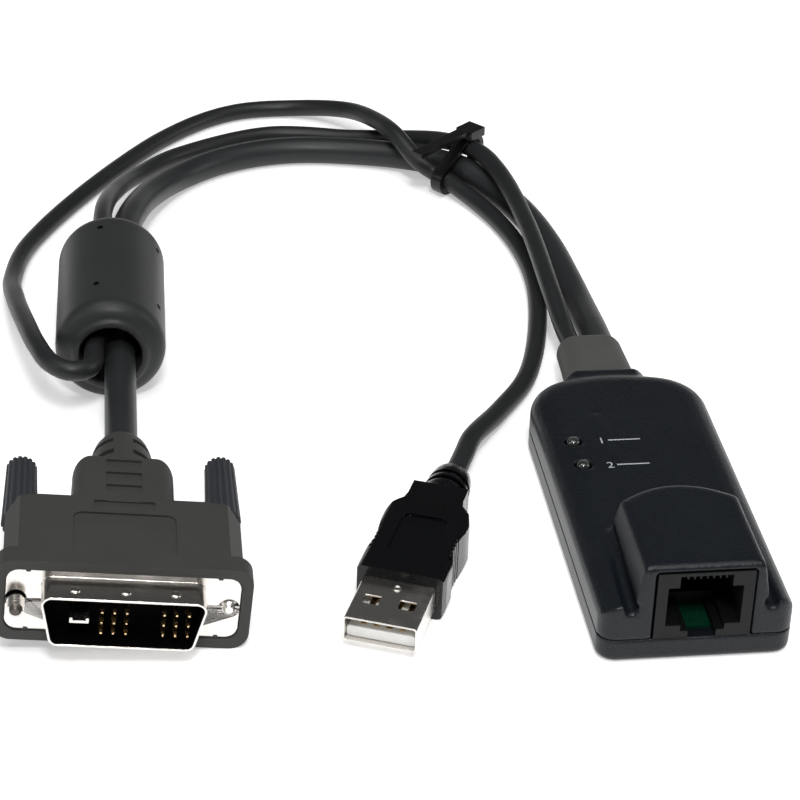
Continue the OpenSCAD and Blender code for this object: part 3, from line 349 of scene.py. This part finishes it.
def smooth_line(route, diameter, step):
    """Points of the smooth line through a route, lifted so that the cord stays on the table."""
    points = [Vector(point) * MM for point in route]
    last = len(points) - 1
    roots = [math.sqrt((points[i + 1] - points[i]).length) for i in range(last)]

    def slope(i):
        if i == 0:
            return (points[1] - points[0]) / roots[0]
        if i == last:
            return (points[last] - points[last - 1]) / roots[last - 1]
        a, b = roots[i - 1], roots[i]
        return ((points[i] - points[i - 1]) / a - (points[i + 1] - points[i - 1]) / (a + b)
                + (points[i + 1] - points[i]) / b)

    line = []
    for i in range(last):
        count = math.ceil(roots[i] ** 2 / step)
        for j in range(count):
            t = j / count
            point = ((2 * t**3 - 3 * t**2 + 1) * points[i] + (t**3 - 2 * t**2 + t) * roots[i] * slope(i)
                     + (3 * t**2 - 2 * t**3) * points[i + 1] + (t**3 - t**2) * roots[i] * slope(i + 1))
            line.append(point)
    line.append(points[last])
    for point in line:
        point.z = max(point.z, diameter / 2)
    return line


def round_cord(name, line, diameter):
    """A smooth round cord along a line."""
    curve = bpy.data.curves.new(name, "CURVE")
    curve.dimensions = "3D"
    curve.bevel_depth = diameter / 2
    curve.bevel_resolution = 6
    curve.use_fill_caps = True
    spline = curve.splines.new("POLY")
    spline.points.add(len(line) - 1)
    for point, middle in zip(spline.points, line):
        point.co = (*middle, 1)
    spline.use_smooth = True
    piece = bpy.data.objects.new(name, curve)
    bpy.context.scene.collection.objects.link(piece)
    return piece


# Finishes

class Value:
    """One output of a shader node. Sums and products of values add the Math nodes they need."""

    def __init__(self, bench, socket):
        self.bench = bench
        self.socket = socket

    def math(self, operation, first, second):
        made = self.bench.node("ShaderNodeMath", {"operation": operation}, {0: first, 1: second})
        return Value(self.bench, made.outputs[0])

    def __add__(self, other):
        return self.math("ADD", self, other)

    def __radd__(self, other):
        return self.math("ADD", other, self)

    def __mul__(self, other):
        return self.math("MULTIPLY", self, other)

    def between(self, low, high):
        """0 below low, 1 above high, and a smooth rise between them."""
        made = self.bench.node("ShaderNodeMapRange", {"interpolation_type": "SMOOTHSTEP"},
                               {"Value": self, "From Min": low, "From Max": high})
        return Value(self.bench, made.outputs["Result"])


class Finish:
    """A material in the making: a Principled shader and the nodes that feed it."""

    def __init__(self, name, **fixed):
        self.material = bpy.data.materials.new(name)
        self.material.use_nodes = True
        self.tree = self.material.node_tree
        self.tree.nodes.clear()
        self.shader = self.node("ShaderNodeBsdfPrincipled", {}, fixed)
        self.node("ShaderNodeOutputMaterial", {}, {"Surface": Value(self, self.shader.outputs[0])})
        self.coordinates = Value(self, self.node("ShaderNodeTexCoord").outputs["Object"])

    def node(self, kind, settings=None, sockets=None):
        """A new shader node. In the names of sockets, a low line stands for a space."""
        made = self.tree.nodes.new(kind)
        for key, value in (settings or {}).items():
            setattr(made, key, value)
        for key, value in (sockets or {}).items():
            self.feed(made, key.replace("_", " ") if isinstance(key, str) else key, value)
        return made

    def feed(self, made, key, value):
        """Links a value to a node's socket, or writes a plain number or colour into it."""
        if isinstance(value, Value):
            self.tree.links.new(value.socket, made.inputs[key])
        elif hasattr(value, "__len__") and len(value) == 3 and made.inputs[key].type == "RGBA":
            made.inputs[key].default_value = (*value, 1)
        else:
            made.inputs[key].default_value = value

    def noise(self, size, detail=2.0, rough=0.5, stretch=(1, 1, 1)):
        """Soft random pattern whose features are about this size, in metres."""
        mapped = self.node("ShaderNodeMapping", {}, {"Vector": self.coordinates, "Scale": stretch})
        made = self.node("ShaderNodeTexNoise", {}, {
            "Vector": Value(self, mapped.outputs[0]), "Scale": 1 / size, "Detail": detail,
            "Roughness": rough})
        return Value(self, made.outputs[0])

    def cells(self, size, feature="F1"):
        """Pattern of cells of about this size, in metres."""
        made = self.node("ShaderNodeTexVoronoi", {"feature": feature}, {
            "Vector": self.coordinates, "Scale": 1 / size})
        return Value(self, made.outputs["Distance"])

    def mix(self, share, first, second):
        """Colour that goes from first to second as share goes from 0 to 1."""
        # Sockets 6 and 7 of this node are its two colours, and output 2 is their mixture
        made = self.node("ShaderNodeMix", {"data_type": "RGBA"}, {})
        self.feed(made, 0, share)
        self.feed(made, 6, first)
        self.feed(made, 7, second)
        return Value(self, made.outputs[2])

    def tint(self, share, base, low=0.8, high=1.2):
        """A colour that goes from low to high times its brightness."""
        return self.mix(share, [c * low for c in base], [min(c * high, 1) for c in base])

    def paint(self, base, roughness, height=None, distance=0.0, strength=1.0):
        """Feeds the shader its colour, its roughness and the fine relief of its skin."""
        self.feed(self.shader, "Base Color", base)
        self.feed(self.shader, "Roughness", roughness)
        if height is not None:
            bump = self.node("ShaderNodeBump", {}, {
                "Strength": strength, "Distance": distance, "Height": height})
            self.feed(self.shader, "Normal", Value(self, bump.outputs[0]))
        return self.material


MADE = {}


def kept(maker):
    """A finish is made once and then shared by all the pieces that have it."""
    def once(*words):
        key = (maker.__name__, *words)
        if key not in MADE:
            MADE[key] = maker(*words)
        return MADE[key]
    return once


@kept
def textured_cover():
    """Dark moulding with a fine grain."""
    look = bpy.context.scene.module_housing
    bench = Finish("textured_cover", IOR=1.5, Specular_IOR_Level=0.3)
    grain = bench.noise(look.grain, 3, 0.6)
    pits = bench.cells(look.grain * 1.4)
    cloud = bench.noise(0.012, 2)
    speck = bench.noise(look.grain * 0.8, 1).between(0.60, 0.74)
    base = bench.mix(speck * 0.30, bench.tint(cloud, look.cover, 0.85, 1.2), (0.055, 0.065, 0.080))
    return bench.paint(base, 0.26 + grain * 0.14 + cloud * 0.05, grain * 0.6 + pits * 0.8,
                       distance=0.00007, strength=0.60)


@kept
def moulded_plastic(name, group, key, rough, grain, gloss):
    """Plain moulded plastic or rubber with a fine skin and faint marks of use."""
    own = getattr(getattr(bpy.context.scene, group), key)
    bench = Finish(name, Coat_Weight=gloss, Coat_Roughness=0.06, Specular_IOR_Level=0.25)
    fine = bench.noise(grain, 2, 0.6)
    cloud = bench.noise(0.009, 3)
    scuff = bench.noise(0.0012, 4, 0.7, (1, 0.25, 1)).between(0.66, 0.78)
    scuffed = [min(c * 1.8 + 0.01, 1) for c in own]
    base = bench.mix(scuff * 0.12, bench.tint(cloud, own, 0.86, 1.16), scuffed)
    return bench.paint(base, rough + fine * 0.10 + cloud * 0.06 + scuff * 0.04, fine,
                       distance=0.00003, strength=0.35)


@kept
def cord_jacket(name, key, rough):
    """Extruded jacket: smooth, with faint long marks and a little dust."""
    look = bpy.context.scene.module_cords
    bench = Finish(name, Specular_IOR_Level=0.3)
    fine = bench.noise(0.0005, 3, 0.6)
    cloud = bench.noise(0.008, 3)
    base = bench.tint(cloud, getattr(look, key), 0.85, 1.2)
    return bench.paint(base, rough + cloud * 0.10 + fine * 0.06, fine + bench.noise(0.003) * 1.5,
                       distance=0.00004, strength=0.30)


@kept
def plated_steel(name, rough):
    """Bright plating, faintly brushed and stained."""
    look = bpy.context.scene.module_plugs
    bench = Finish(name, Metallic=1.0)
    brushed = bench.noise(0.0008, 3, 0.6, (1, 6, 6))
    stain = bench.noise(0.004, 3).between(0.45, 0.75)
    base = bench.mix(stain * 0.35, look.metal, [c * 0.72 for c in look.metal])
    return bench.paint(base, rough + brushed * 0.10 + stain * 0.08, brushed,
                       distance=0.00001, strength=0.25)


@kept
def gold_plate():
    """Gold plating of the contacts, a little worn."""
    look = bpy.context.scene.module_plugs
    bench = Finish("gold_plate", Metallic=1.0)
    worn = bench.noise(0.0006, 3)
    return bench.paint(bench.tint(worn, look.contact, 0.8, 1.05), 0.20 + worn * 0.15, worn,
                       distance=0.00001, strength=0.2)


@kept
def lamp_lens():
    """Clear plastic of an unlit lamp."""
    bench = Finish("lamp_lens", Coat_Weight=1.0, Coat_Roughness=0.03, IOR=1.5,
                   Transmission_Weight=0.35)
    depth = bench.noise(0.0009, 2)
    base = bench.mix(depth, (0.015, 0.018, 0.016), (0.06, 0.07, 0.065))
    return bench.paint(base, 0.06 + depth * 0.06, depth, distance=0.00003, strength=0.2)


@kept
def board_lacquer():
    """Green lacquer over the board's copper tracks."""
    look = bpy.context.scene.module_housing
    bench = Finish("board_lacquer", Coat_Weight=0.4)
    track = bench.cells(0.0018, "DISTANCE_TO_EDGE").between(0.03, 0.07)
    weave = bench.noise(0.0004, 2)
    base = bench.mix(track, [c * 1.6 for c in look.board], bench.tint(weave, look.board))
    return bench.paint(base, 0.30 + weave * 0.15, track * 0.5 + weave * 0.2,
                       distance=0.00004, strength=0.5)


@kept
def small_part(name, base, rough, metallic):
    """Moulded, ceramic or tinned parts inside the housing."""
    bench = Finish(name, Metallic=metallic)
    fine = bench.noise(0.0004, 3, 0.6)
    return bench.paint(bench.tint(bench.noise(0.003), base, 0.85, 1.15), rough + fine * 0.15, fine,
                       distance=0.00002, strength=0.3)


@kept
def deep_black():
    """Near-black with almost no reflection: the black plastic of the plug's pin block, and painted shade on
    the inner wall of the plug's mouth and in the ferrite's dimples.
    """
    bench = Finish("deep_black", Specular_IOR_Level=0.04)
    fine = bench.noise(0.0004, 3, 0.6)
    return bench.paint(bench.tint(fine, (0.0010, 0.0010, 0.0012)), 0.6 + fine * 0.1, fine,
                       distance=0.00001, strength=0.3)


@kept
def pale_ink():
    """Ink of the marks beside the lamps."""
    look = bpy.context.scene.module_housing
    bench = Finish("pale_ink")
    worn = bench.noise(0.0004, 3)
    return bench.paint(bench.tint(worn, look.mark, 0.8, 1.1), 0.5 + worn * 0.2, worn,
                       distance=0.00001, strength=0.3)


@kept
def floor_paint():
    """Pale floor that glows a little, so that it comes out white."""
    look = bpy.context.scene.module_stage
    bench = Finish("floor_paint", Emission_Color=look.floor, Emission_Strength=0.45)
    cloud = bench.noise(0.4, 2)
    return bench.paint(bench.tint(cloud, look.floor, 0.995, 1.005), 0.6 + cloud * 0.05)


# Operators

class MODULE_OT_stage(bpy.types.Operator):
    """Adds the floor, the soft lamps and the camera"""
    bl_idname = "module.stage"
    bl_label = "Stage"

    def execute(self, context):
        look = context.scene.module_stage
        clear_selection()
        bpy.ops.mesh.primitive_plane_add(size=look.floor_size, location=(0, 0, 0))
        floor = named("floor")
        edit(floor)
        bpy.ops.mesh.select_all(action="SELECT")
        bpy.ops.mesh.subdivide(number_cuts=3)
        close()
        settle(floor, Matrix.Translation((0, 0, -0.00002)))
        floor.data.materials.append(floor_paint())
        for name, spot, size, share in LAMPS:
            light = bpy.data.lights.new(name, "AREA")
            light.shape = "RECTANGLE"
            light.size, light.size_y = size
            light.energy = look.lamp * share
            holder = bpy.data.objects.new(name, light)
            holder.location = spot
            holder.rotation_mode = "QUATERNION"
            holder.rotation_quaternion = (Vector(LAMP_TARGET) - Vector(spot)).to_track_quat("-Z", "Y")
            context.scene.collection.objects.link(holder)
        world = bpy.data.worlds.new("studio")
        world.use_nodes = True
        sky = world.node_tree.nodes["Background"].inputs
        sky["Color"].default_value = (1, 1, 1, 1)
        sky["Strength"].default_value = ROOM_LIGHT
        context.scene.world = world
        context.scene.view_settings.view_transform = "Standard"
        camera = bpy.data.cameras.new("camera")
        camera.lens = look.lens * 1000
        camera.sensor_width = SENSOR_WIDTH
        camera.clip_start, camera.clip_end = 0.01, 20
        holder = bpy.data.objects.new("camera", camera)
        context.scene.collection.objects.link(holder)
        turn, tilt, lean = (math.radians(angle) for angle in (CAMERA_TURN, CAMERA_TILT, CAMERA_LEAN))
        ahead = Vector((math.sin(turn) * math.cos(tilt), math.cos(turn) * math.cos(tilt), -math.sin(tilt)))
        right = Vector((math.cos(turn), -math.sin(turn), 0))
        up = Vector((math.sin(turn) * math.sin(tilt), math.cos(turn) * math.sin(tilt), math.cos(tilt)))
        across = math.cos(lean) * right - math.sin(lean) * up
        upward = math.sin(lean) * right + math.cos(lean) * up
        view = Matrix((across, upward, -ahead)).transposed().to_4x4()
        holder.matrix_world = Matrix.Translation(CAMERA_PLACE) @ view
        context.scene.camera = holder
        return {"FINISHED"}


class MODULE_OT_cords(bpy.types.Operator):
    """Adds the thick video cord and the thin keyboard and mouse cord"""
    bl_idname = "module.cords"
    bl_label = "Cords"

    def execute(self, context):
        look = context.scene.module_cords
        for name, route, diameter, key, node in (
                ("video_cord_jacket", VIDEO_ROUTE, look.video_diameter, "video", "video_cord"),
                ("usb_cord_jacket", USB_ROUTE, look.usb_diameter, "usb", "usb_cord")):
            line = smooth_line(route, diameter, look.step)
            piece = round_cord(name, line, diameter)
            finish_piece(piece, cord_jacket(name, key, 0.34), [node])
            piece["cord_length"] = sum((b - a).length for a, b in zip(line, line[1:]))
        return {"FINISHED"}


class MODULE_OT_boot(bpy.types.Operator):
    """Adds the grey boot where the two cords leave the housing"""
    bl_idname = "module.boot"
    bl_label = "Cable boot"

    def execute(self, context):
        piece = rounded_copy("cable_boot", "boot", 0.00025, angle=40, smooth=40, flat=1.0, merge=0.00001)
        finish_piece(piece, moulded_plastic("boot_rubber", "module_cords", "boot", 0.50, 0.0003, 0.0),
                     ["cable_boot"])
        return {"FINISHED"}


class MODULE_OT_covers(bpy.types.Operator):
    """Adds the two halves of the housing with their rounded edges"""
    bl_idname = "module.covers"
    bl_label = "Covers"

    def execute(self, context):
        look = context.scene.module_housing

        def hold_top(p):
            """Keeps the rim of the jack's opening, the lamps' holes and the lower edge sharp."""
            at_jack = p.y < -36.3 and abs(p.x - 0.6) < 8.6 and p.z < 17.2
            at_lamp = math.hypot(p.x + 11, p.y - 11.9) < 2 or math.hypot(p.x + 10.7, p.y - 4.5) < 2
            if at_jack:
                return 0.85
            if at_lamp:
                return 0.6
            return 0.7 if p.z < 4.8 else 0.0

        top = copy_of("top_cover", "top_shell")
        soften(top, look.wall_step, look.softness, hold_top)
        finish_piece(top, textured_cover(), ["top_cover"])

        bottom = copy_of("bottom_cover", "bottom_shell")
        soften(bottom, look.wall_step, look.softness, lambda p: 0.75 if p.z > 3.6 else 0.0)
        finish_piece(bottom, textured_cover(), ["bottom_cover"])
        return {"FINISHED"}


class MODULE_OT_marks(bpy.types.Operator):
    """Adds a plain numeral and a bar beside each lamp"""
    bl_idname = "module.marks"
    bl_label = "Lamp marks"

    def execute(self, context):
        look = context.scene.module_housing
        pieces = []
        for numeral, y in (("1", 0.0118), ("2", 0.0040)):
            clear_selection()
            bpy.ops.object.text_add(location=(-0.0068, y - look.mark_height / 2, DECK_HEIGHT))
            letter = bpy.context.object
            letter.data.body = numeral
            letter.data.size = look.mark_height * 1.35
            letter.data.extrude = 0.00002
            bpy.ops.object.convert(target="MESH")
            settle(letter)
            pieces.append(letter)
            clear_selection()
            bpy.ops.mesh.primitive_cube_add(size=0.001, location=(-0.0022, y, DECK_HEIGHT))
            bar = bpy.context.object
            stretch(bar, (5.6, 0.32, 0.04))
            round_edges(bar, 0.00012, 2)
            pieces.append(bar)
        piece = join(pieces, "lamp_marks")
        finish_piece(piece, pale_ink())
        return {"FINISHED"}


class MODULE_OT_lamps(bpy.types.Operator):
    """Adds the two clear lamps"""
    bl_idname = "module.lamps"
    bl_label = "Lamps"

    def execute(self, context):
        look = context.scene.module_housing
        for name, node in (("power_lens", "power_lamp"), ("active_lens", "active_lamp")):
            low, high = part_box(node)
            middle = (Vector(low) + Vector(high)) / 2
            clear_selection()
            bpy.ops.mesh.primitive_cylinder_add(vertices=48, radius=look.lens,
                                                depth=high[2] - low[2], location=middle)
            lens = named(name)
            settle(lens)
            edit(lens)
            choose(lens, "FACE", lambda f: f.normal.z > 0.9)
            bpy.ops.mesh.bevel(offset=look.lens * 0.72, segments=8, affect="EDGES")
            choose(lens, "FACE", lambda f: f.normal.z < -0.9)
            bpy.ops.mesh.extrude_region_move()
            bpy.ops.transform.resize(value=(1.34, 1.34, 1), center_override=(middle.x, middle.y, low[2]))
            close()
            shade(lens, 40)
            finish_piece(lens, lamp_lens(), [node])
        dress("lamp_leads", plated_steel("lead_wire", 0.25))
        return {"FINISHED"}


class MODULE_OT_jack(bpy.types.Operator):
    """Adds the network jack with its comb and contacts"""
    bl_idname = "module.jack"
    bl_label = "Network jack"

    def execute(self, context):
        piece = rounded_copy("jack_housing", "jack_body", 0.00008)
        finish_piece(piece, moulded_plastic("jack_plastic", "module_housing", "jack", 0.40, 0.0003, 0.0),
                     ["jack_housing"])
        dress("jack_contacts", gold_plate())
        dress("circuit_board", board_lacquer())
        return {"FINISHED"}


class MODULE_OT_ferrite(bpy.types.Operator):
    """Adds the ferrite's cover, with near-black discs of painted shade for its round dimples"""
    bl_idname = "module.ferrite"
    bl_label = "Ferrite"

    def execute(self, context):
        look = context.scene.module_cords
        piece = copy_of("ferrite_cover", "ferrite_sleeve", flat=0.2)
        # Painted shade: each round dimple of the cover is a near-black disc with almost no reflection
        marks = []
        for along, angle in FERRITE_MARKS:
            clear_selection()
            bpy.ops.mesh.primitive_cylinder_add(vertices=24, radius=look.dimple, depth=0.001,
                                                location=(0, 0, MARK_FROM_AXIS))
            pin = bpy.context.object
            edit(pin)
            choose(pin, "FACE", lambda f: f.normal.z > 0.9)
            bpy.ops.mesh.inset(thickness=look.dimple * 0.3)
            bpy.ops.transform.translate(value=(0, 0, 0.00001))
            close()
            settle(pin)
            settle(pin, AT_FERRITE @ Matrix.Translation((0, along * MM, 0))
                   @ Matrix.Rotation(math.radians(angle), 4, "Y"))
            marks.append(pin)
        finish_piece(join(marks, "ferrite_marks"), deep_black())
        soften(piece, 0.00034, 7, lambda p: 0.3)
        skin = moulded_plastic("ferrite_plastic", "module_cords", "ferrite", 0.36, 0.0004, 0.0)
        finish_piece(piece, skin, ["ferrite_cover"])
        dress("ferrite_core", small_part("ferrite_ceramic", (0.05, 0.045, 0.042), 0.5, 0.0))
        return {"FINISHED"}


class MODULE_OT_tie(bpy.types.Operator):
    """Adds the cable tie that holds the cords together"""
    bl_idname = "module.tie"
    bl_label = "Cable tie"

    def execute(self, context):
        piece = rounded_copy("cable_tie", "tie_strap", 0.0002, angle=40, smooth=40)
        finish_piece(piece, moulded_plastic("tie_nylon", "module_cords", "tie", 0.30, 0.0004, 0.2),
                     ["cable_tie"])
        return {"FINISHED"}


class MODULE_OT_video_plug(bpy.types.Operator):
    """Adds the video plug's overmould, plate, shell, insulator and contacts"""
    bl_idname = "module.video_plug"
    bl_label = "Video plug"

    def execute(self, context):
        look = context.scene.module_plugs
        body = rounded_copy("video_overmould", "video_grip", look.edge, 3)
        skin = moulded_plastic("video_rubber", "module_plugs", "overmould", 0.46, 0.0003, 0.0)
        finish_piece(body, skin, ["video_overmould"])

        # Small lugs of the overmould that hold the plate
        lugs = []
        for x in LUGS_ACROSS:
            for side in (-1, 1):
                clear_selection()
                bpy.ops.mesh.primitive_cube_add(size=0.001, location=(x * MM, -0.00012, side * 0.00562))
                lug = bpy.context.object
                stretch(lug, (0.75, 0.34, 0.6))
                round_edges(lug, 0.00012, 2)
                settle(lug, AT_VIDEO)
                lugs.append(lug)
        finish_piece(join(lugs, "plate_lugs"), skin)

        shell = copy_of("video_shell", "video_plate")
        round_edges(shell, 0.00018, 3, 40)
        bumps = [shell]
        for x in BUMPS_ACROSS:
            clear_selection()
            bpy.ops.mesh.primitive_uv_sphere_add(segments=24, ring_count=12, radius=0.00085,
                                                 location=(x * MM, -0.0034, 0.0045))
            bump = bpy.context.object
            stretch(bump, (1, 1, 0.34))
            settle(bump, AT_VIDEO)
            bumps.append(bump)
        shell = join(bumps, "video_plate")
        shade(shell, 40)
        finish_piece(shell, plated_steel("plug_nickel", 0.13), ["video_shell"])

        # Painted shade: a near-black sheet over the inner wall of the shell's mouth, where the metal lies
        # in shade
        shade_sheet = copy_of("video_shell", "mouth_lining")
        local = AT_VIDEO.inverted()
        turn = local.to_3x3()

        def not_inner(face):
            """Whether a face isn't on the inner wall of the mouth, which faces the plug's axis."""
            middle, normal = local @ face.center, turn @ face.normal
            faces_axis = middle.x * normal.x + middle.z * normal.z < 0
            return not (middle.y < 0 and abs(normal.y) < 0.3 and faces_axis)

        edit(shade_sheet)
        choose(shade_sheet, "FACE", not_inner)
        bpy.ops.mesh.delete(type="FACE")
        bpy.ops.mesh.select_all(action="SELECT")
        bpy.ops.transform.shrink_fatten(value=0.00004)
        close()
        apply_modifier(shade_sheet, "SOLIDIFY", thickness=0.00003, offset=0)
        finish_piece(shade_sheet, deep_black())

        block = rounded_copy("video_insulator", "pin_block", 0.0001)
        finish_piece(block, deep_black(), ["video_insulator"])

        pins = copy_of("video_pins", "round_pins")
        shade(pins, 40)
        finish_piece(pins, gold_plate(), ["video_pins"])
        blade = rounded_copy("video_ground_blade", "flat_blade", 0.00008)
        finish_piece(blade, plated_steel("blade_tin", 0.2), ["video_ground_blade"])
        return {"FINISHED"}


class MODULE_OT_thumbscrews(bpy.types.Operator):
    """Adds the two thumbscrews with fluted knobs and threaded ends"""
    bl_idname = "module.thumbscrews"
    bl_label = "Thumbscrews"

    def execute(self, context):
        for side, sign, back in SCREWS:
            at_screw = AT_VIDEO @ Matrix.Translation((sign * SCREW_OFFSET, back * MM, 0))
            self.knob(side, at_screw)
            self.shank(side, at_screw)
            dress(f"{side}_retaining_ring", plated_steel("ring_steel", 0.3))
        return {"FINISHED"}

    def knob(self, side, at_screw):
        """Adds a knob with flutes along it."""
        look = bpy.context.scene.module_plugs
        clear_selection()
        count = look.flutes * POINTS_PER_FLUTE
        bpy.ops.mesh.primitive_cylinder_add(vertices=count, radius=KNOB_RADIUS, depth=KNOB_LENGTH,
                                            location=(0, 0, 0))
        knob = named(f"{side}_knob")
        edit(knob)
        choose(knob, "FACE", lambda f: abs(f.normal.z) > 0.9)
        bpy.ops.mesh.inset(thickness=0.0006, use_individual=True)
        # Grooves between the flutes
        choose(knob, "VERT", lambda v: math.hypot(v.co.x, v.co.y) > 0.0028 and self.groove(v.co, count))
        bpy.ops.transform.resize(value=(GROOVE_SHARE, GROOVE_SHARE, 1), center_override=(0, 0, 0))
        # Taper towards the free end, which is cut in a little round its middle
        choose(knob, "VERT", lambda v: v.co.z > 0.008)
        bpy.ops.transform.resize(value=(TAPER_SHARE, TAPER_SHARE, 1),
                                 center_override=(0, 0, KNOB_LENGTH / 2))
        choose(knob, "FACE", lambda f: f.normal.z > 0.9 and len(f.vertices) > 6)
        bpy.ops.mesh.extrude_region_move(TRANSFORM_OT_translate={"value": (0, 0, -KNOB_DISH)})
        close()
        round_edges(knob, 0.00014, 2, 40)
        settle(knob)
        settle(knob, at_screw @ Matrix.Translation((0, KNOB_MIDDLE, 0))
               @ Matrix.Rotation(math.radians(-90), 4, "X"))
        shade(knob, 40)
        finish_piece(knob, moulded_plastic("knob_plastic", "module_plugs", "knob", 0.42, 0.0003, 0.0),
                     [f"{side}_thumb_knob"], f"{side}_screw")

    def groove(self, point, count):
        """Whether a point of the knob's outline is at the bottom of a groove."""
        turn = math.atan2(point.y, point.x) / (2 * math.pi) * count
        return round(turn) % POINTS_PER_FLUTE in (0, 1)

    def shank(self, side, at_screw):
        """Adds a shank, thinner in its threaded end, and the ridge that winds round that end."""
        look = bpy.context.scene.module_plugs
        shank = copy_of(f"{side}_screw_shank", f"{side}_shank")
        to_screw = at_screw.inverted()

        def on_thread(vertex):
            local = to_screw @ vertex.co
            return local.y < -0.0005 and math.hypot(local.x, local.z) > 0.0009

        edit(shank, "VERT")
        choose(shank, "VERT", on_thread)
        bpy.ops.transform.resize(value=(VALLEY_SHARE, 1, VALLEY_SHARE),
                                 center_override=at_screw @ Vector((0, -0.003, 0)))
        close()
        # One turn after another of a sharp ridge round the threaded end
        clear_selection()
        bpy.ops.mesh.primitive_circle_add(vertices=3, radius=look.thread_pitch * 0.52,
                                          fill_type="NOTHING", location=(0, 0, 0))
        ridge = named(f"{side}_thread")
        edit(ridge, "VERT")
        bpy.ops.mesh.select_all(action="SELECT")
        bpy.ops.transform.rotate(value=math.radians(90), orient_axis="X", center_override=(0, 0, 0))
        bpy.ops.transform.rotate(value=math.radians(90), orient_axis="Y", center_override=(0, 0, 0))
        close()
        reach = max(v.co.x for v in ridge.data.vertices)
        edit(ridge, "VERT")
        bpy.ops.mesh.select_all(action="SELECT")
        bpy.ops.transform.translate(value=(THREAD_RADIUS - reach, 0, THREAD_TIP))
        close()
        settle(ridge)
        apply_modifier(ridge, "SCREW", axis="Z", angle=2 * math.pi, screw_offset=look.thread_pitch,
                       iterations=THREAD_TURNS, steps=32, render_steps=32, use_normal_calculate=True)
        edit(ridge, "EDGE")
        bpy.ops.mesh.select_all(action="SELECT")
        bpy.ops.mesh.remove_doubles(threshold=0.000002)
        bpy.ops.mesh.select_all(action="DESELECT")
        bpy.ops.mesh.select_non_manifold()
        bpy.ops.mesh.edge_face_add()
        bpy.ops.mesh.select_all(action="SELECT")
        bpy.ops.mesh.normals_make_consistent(inside=False)
        close()
        settle(ridge, at_screw @ Matrix.Rotation(math.radians(-90), 4, "X"))
        shade(ridge, 30)
        steel = plated_steel("screw_steel", 0.22)
        finish_piece(ridge, steel, (), f"{side}_screw")
        shade(shank, 30)
        if side == "left":
            # Only this screw stands out in front, and its shank gets a darker steel: painted shade in the
            # valleys of its thread
            steel = small_part("screw_valley", (0.10, 0.09, 0.08), 0.35, 1.0)
        finish_piece(shank, steel, [f"{side}_screw_shank"], f"{side}_screw")


class MODULE_OT_usb_plug(bpy.types.Operator):
    """Adds the USB plug's overmould, shell, tongue and contacts"""
    bl_idname = "module.usb_plug"
    bl_label = "USB plug"

    def execute(self, context):
        look = context.scene.module_plugs
        grip = rounded_copy("usb_overmould", "usb_grip", look.edge * 0.8, 3)
        skin = moulded_plastic("usb_plastic", "module_plugs", "usb_overmould", 0.20, 0.0003, 0.25)
        finish_piece(grip, skin, ["usb_overmould"])

        shell = copy_of("usb_shell", "usb_mouth")
        round_edges(shell, 0.00009, 2)
        clear_selection()
        bpy.ops.mesh.primitive_torus_add(major_radius=0.00062, minor_radius=0.00016, major_segments=32,
                                         minor_segments=8, location=(0.0002, 0.0098, 0.00224))
        punch = bpy.context.object
        settle(punch)
        settle(punch, AT_USB)
        shell = join([shell, punch], "usb_mouth")
        shade(shell)
        finish_piece(shell, plated_steel("shell_nickel", 0.20), ["usb_shell"])

        tongue = rounded_copy("usb_tongue", "white_tongue", 0.00012)
        finish_piece(tongue, small_part("white_nylon", (0.80, 0.80, 0.78), 0.35, 0.0),
                     ["usb_tongue"])
        dress("usb_contacts", gold_plate())
        return {"FINISHED"}


class MODULE_OT_inside(bpy.types.Operator):
    """Gives the parts inside the housing their finishes"""
    bl_idname = "module.inside"
    bl_label = "Inside parts"

    def execute(self, context):
        epoxy = small_part("black_epoxy", (0.012, 0.012, 0.013), 0.45, 0.0)
        for node in ("main_chip", "memory_chip", "line_transformer"):
            dress(node, epoxy)
        dress("crystal", small_part("can_metal", (0.7, 0.7, 0.7), 0.25, 1.0))
        dress("capacitors", small_part("can_sleeve", (0.02, 0.03, 0.08), 0.35, 0.0))
        dress("cable_header", small_part("header_nylon", (0.75, 0.72, 0.6), 0.4, 0.0))
        dress("cord_cores", small_part("wire_cover", (0.5, 0.06, 0.04), 0.4, 0.0))
        dress("cover_screws", plated_steel("cover_screw_steel", 0.25))
        return {"FINISHED"}


class MODULE_OT_declare(bpy.types.Operator):
    """Does nothing"""
    bl_idname = "module.declare"
    bl_label = "Cord facts"

    def execute(self, context):
        return {"FINISHED"}


class MODULE_PT_panel(bpy.types.Panel):
    """Lists the pieces of the module"""
    bl_idname = "MODULE_PT_panel"
    bl_label = "Server interface module"
    bl_space_type = "VIEW_3D"
    bl_region_type = "UI"
    bl_category = "Module"

    def draw(self, context):
        for step in STEPS:
            self.layout.operator(step.bl_idname)
        for group in GROUPS:
            look = getattr(context.scene, group)
            box = self.layout.box()
            for key in look.__annotations__:
                box.prop(look, key)


STEPS = (
    MODULE_OT_stage, MODULE_OT_cords, MODULE_OT_boot, MODULE_OT_covers, MODULE_OT_marks,
    MODULE_OT_lamps, MODULE_OT_jack, MODULE_OT_ferrite, MODULE_OT_tie, MODULE_OT_video_plug,
    MODULE_OT_thumbscrews, MODULE_OT_usb_plug, MODULE_OT_inside, MODULE_OT_declare)
GROUPS = {
    "module_housing": HousingLook,
    "module_cords": CordLook,
    "module_plugs": PlugLook,
    "module_stage": StageLook,
}
CLASSES = (*GROUPS.values(), *STEPS, MODULE_PT_panel)


def register():
    for item in CLASSES:
        bpy.utils.register_class(item)
    for key, group in GROUPS.items():
        setattr(bpy.types.Scene, key, bpy.props.PointerProperty(type=group))


def unregister():
    for key in GROUPS:
        delattr(bpy.types.Scene, key)
    for item in reversed(CLASSES):
        bpy.utils.unregister_class(item)


def main():
    register()
    for step in STEPS:
        group, name = step.bl_idname.split(".")
        getattr(getattr(bpy.ops, group), name)()


if __name__ == "__main__":
    main()
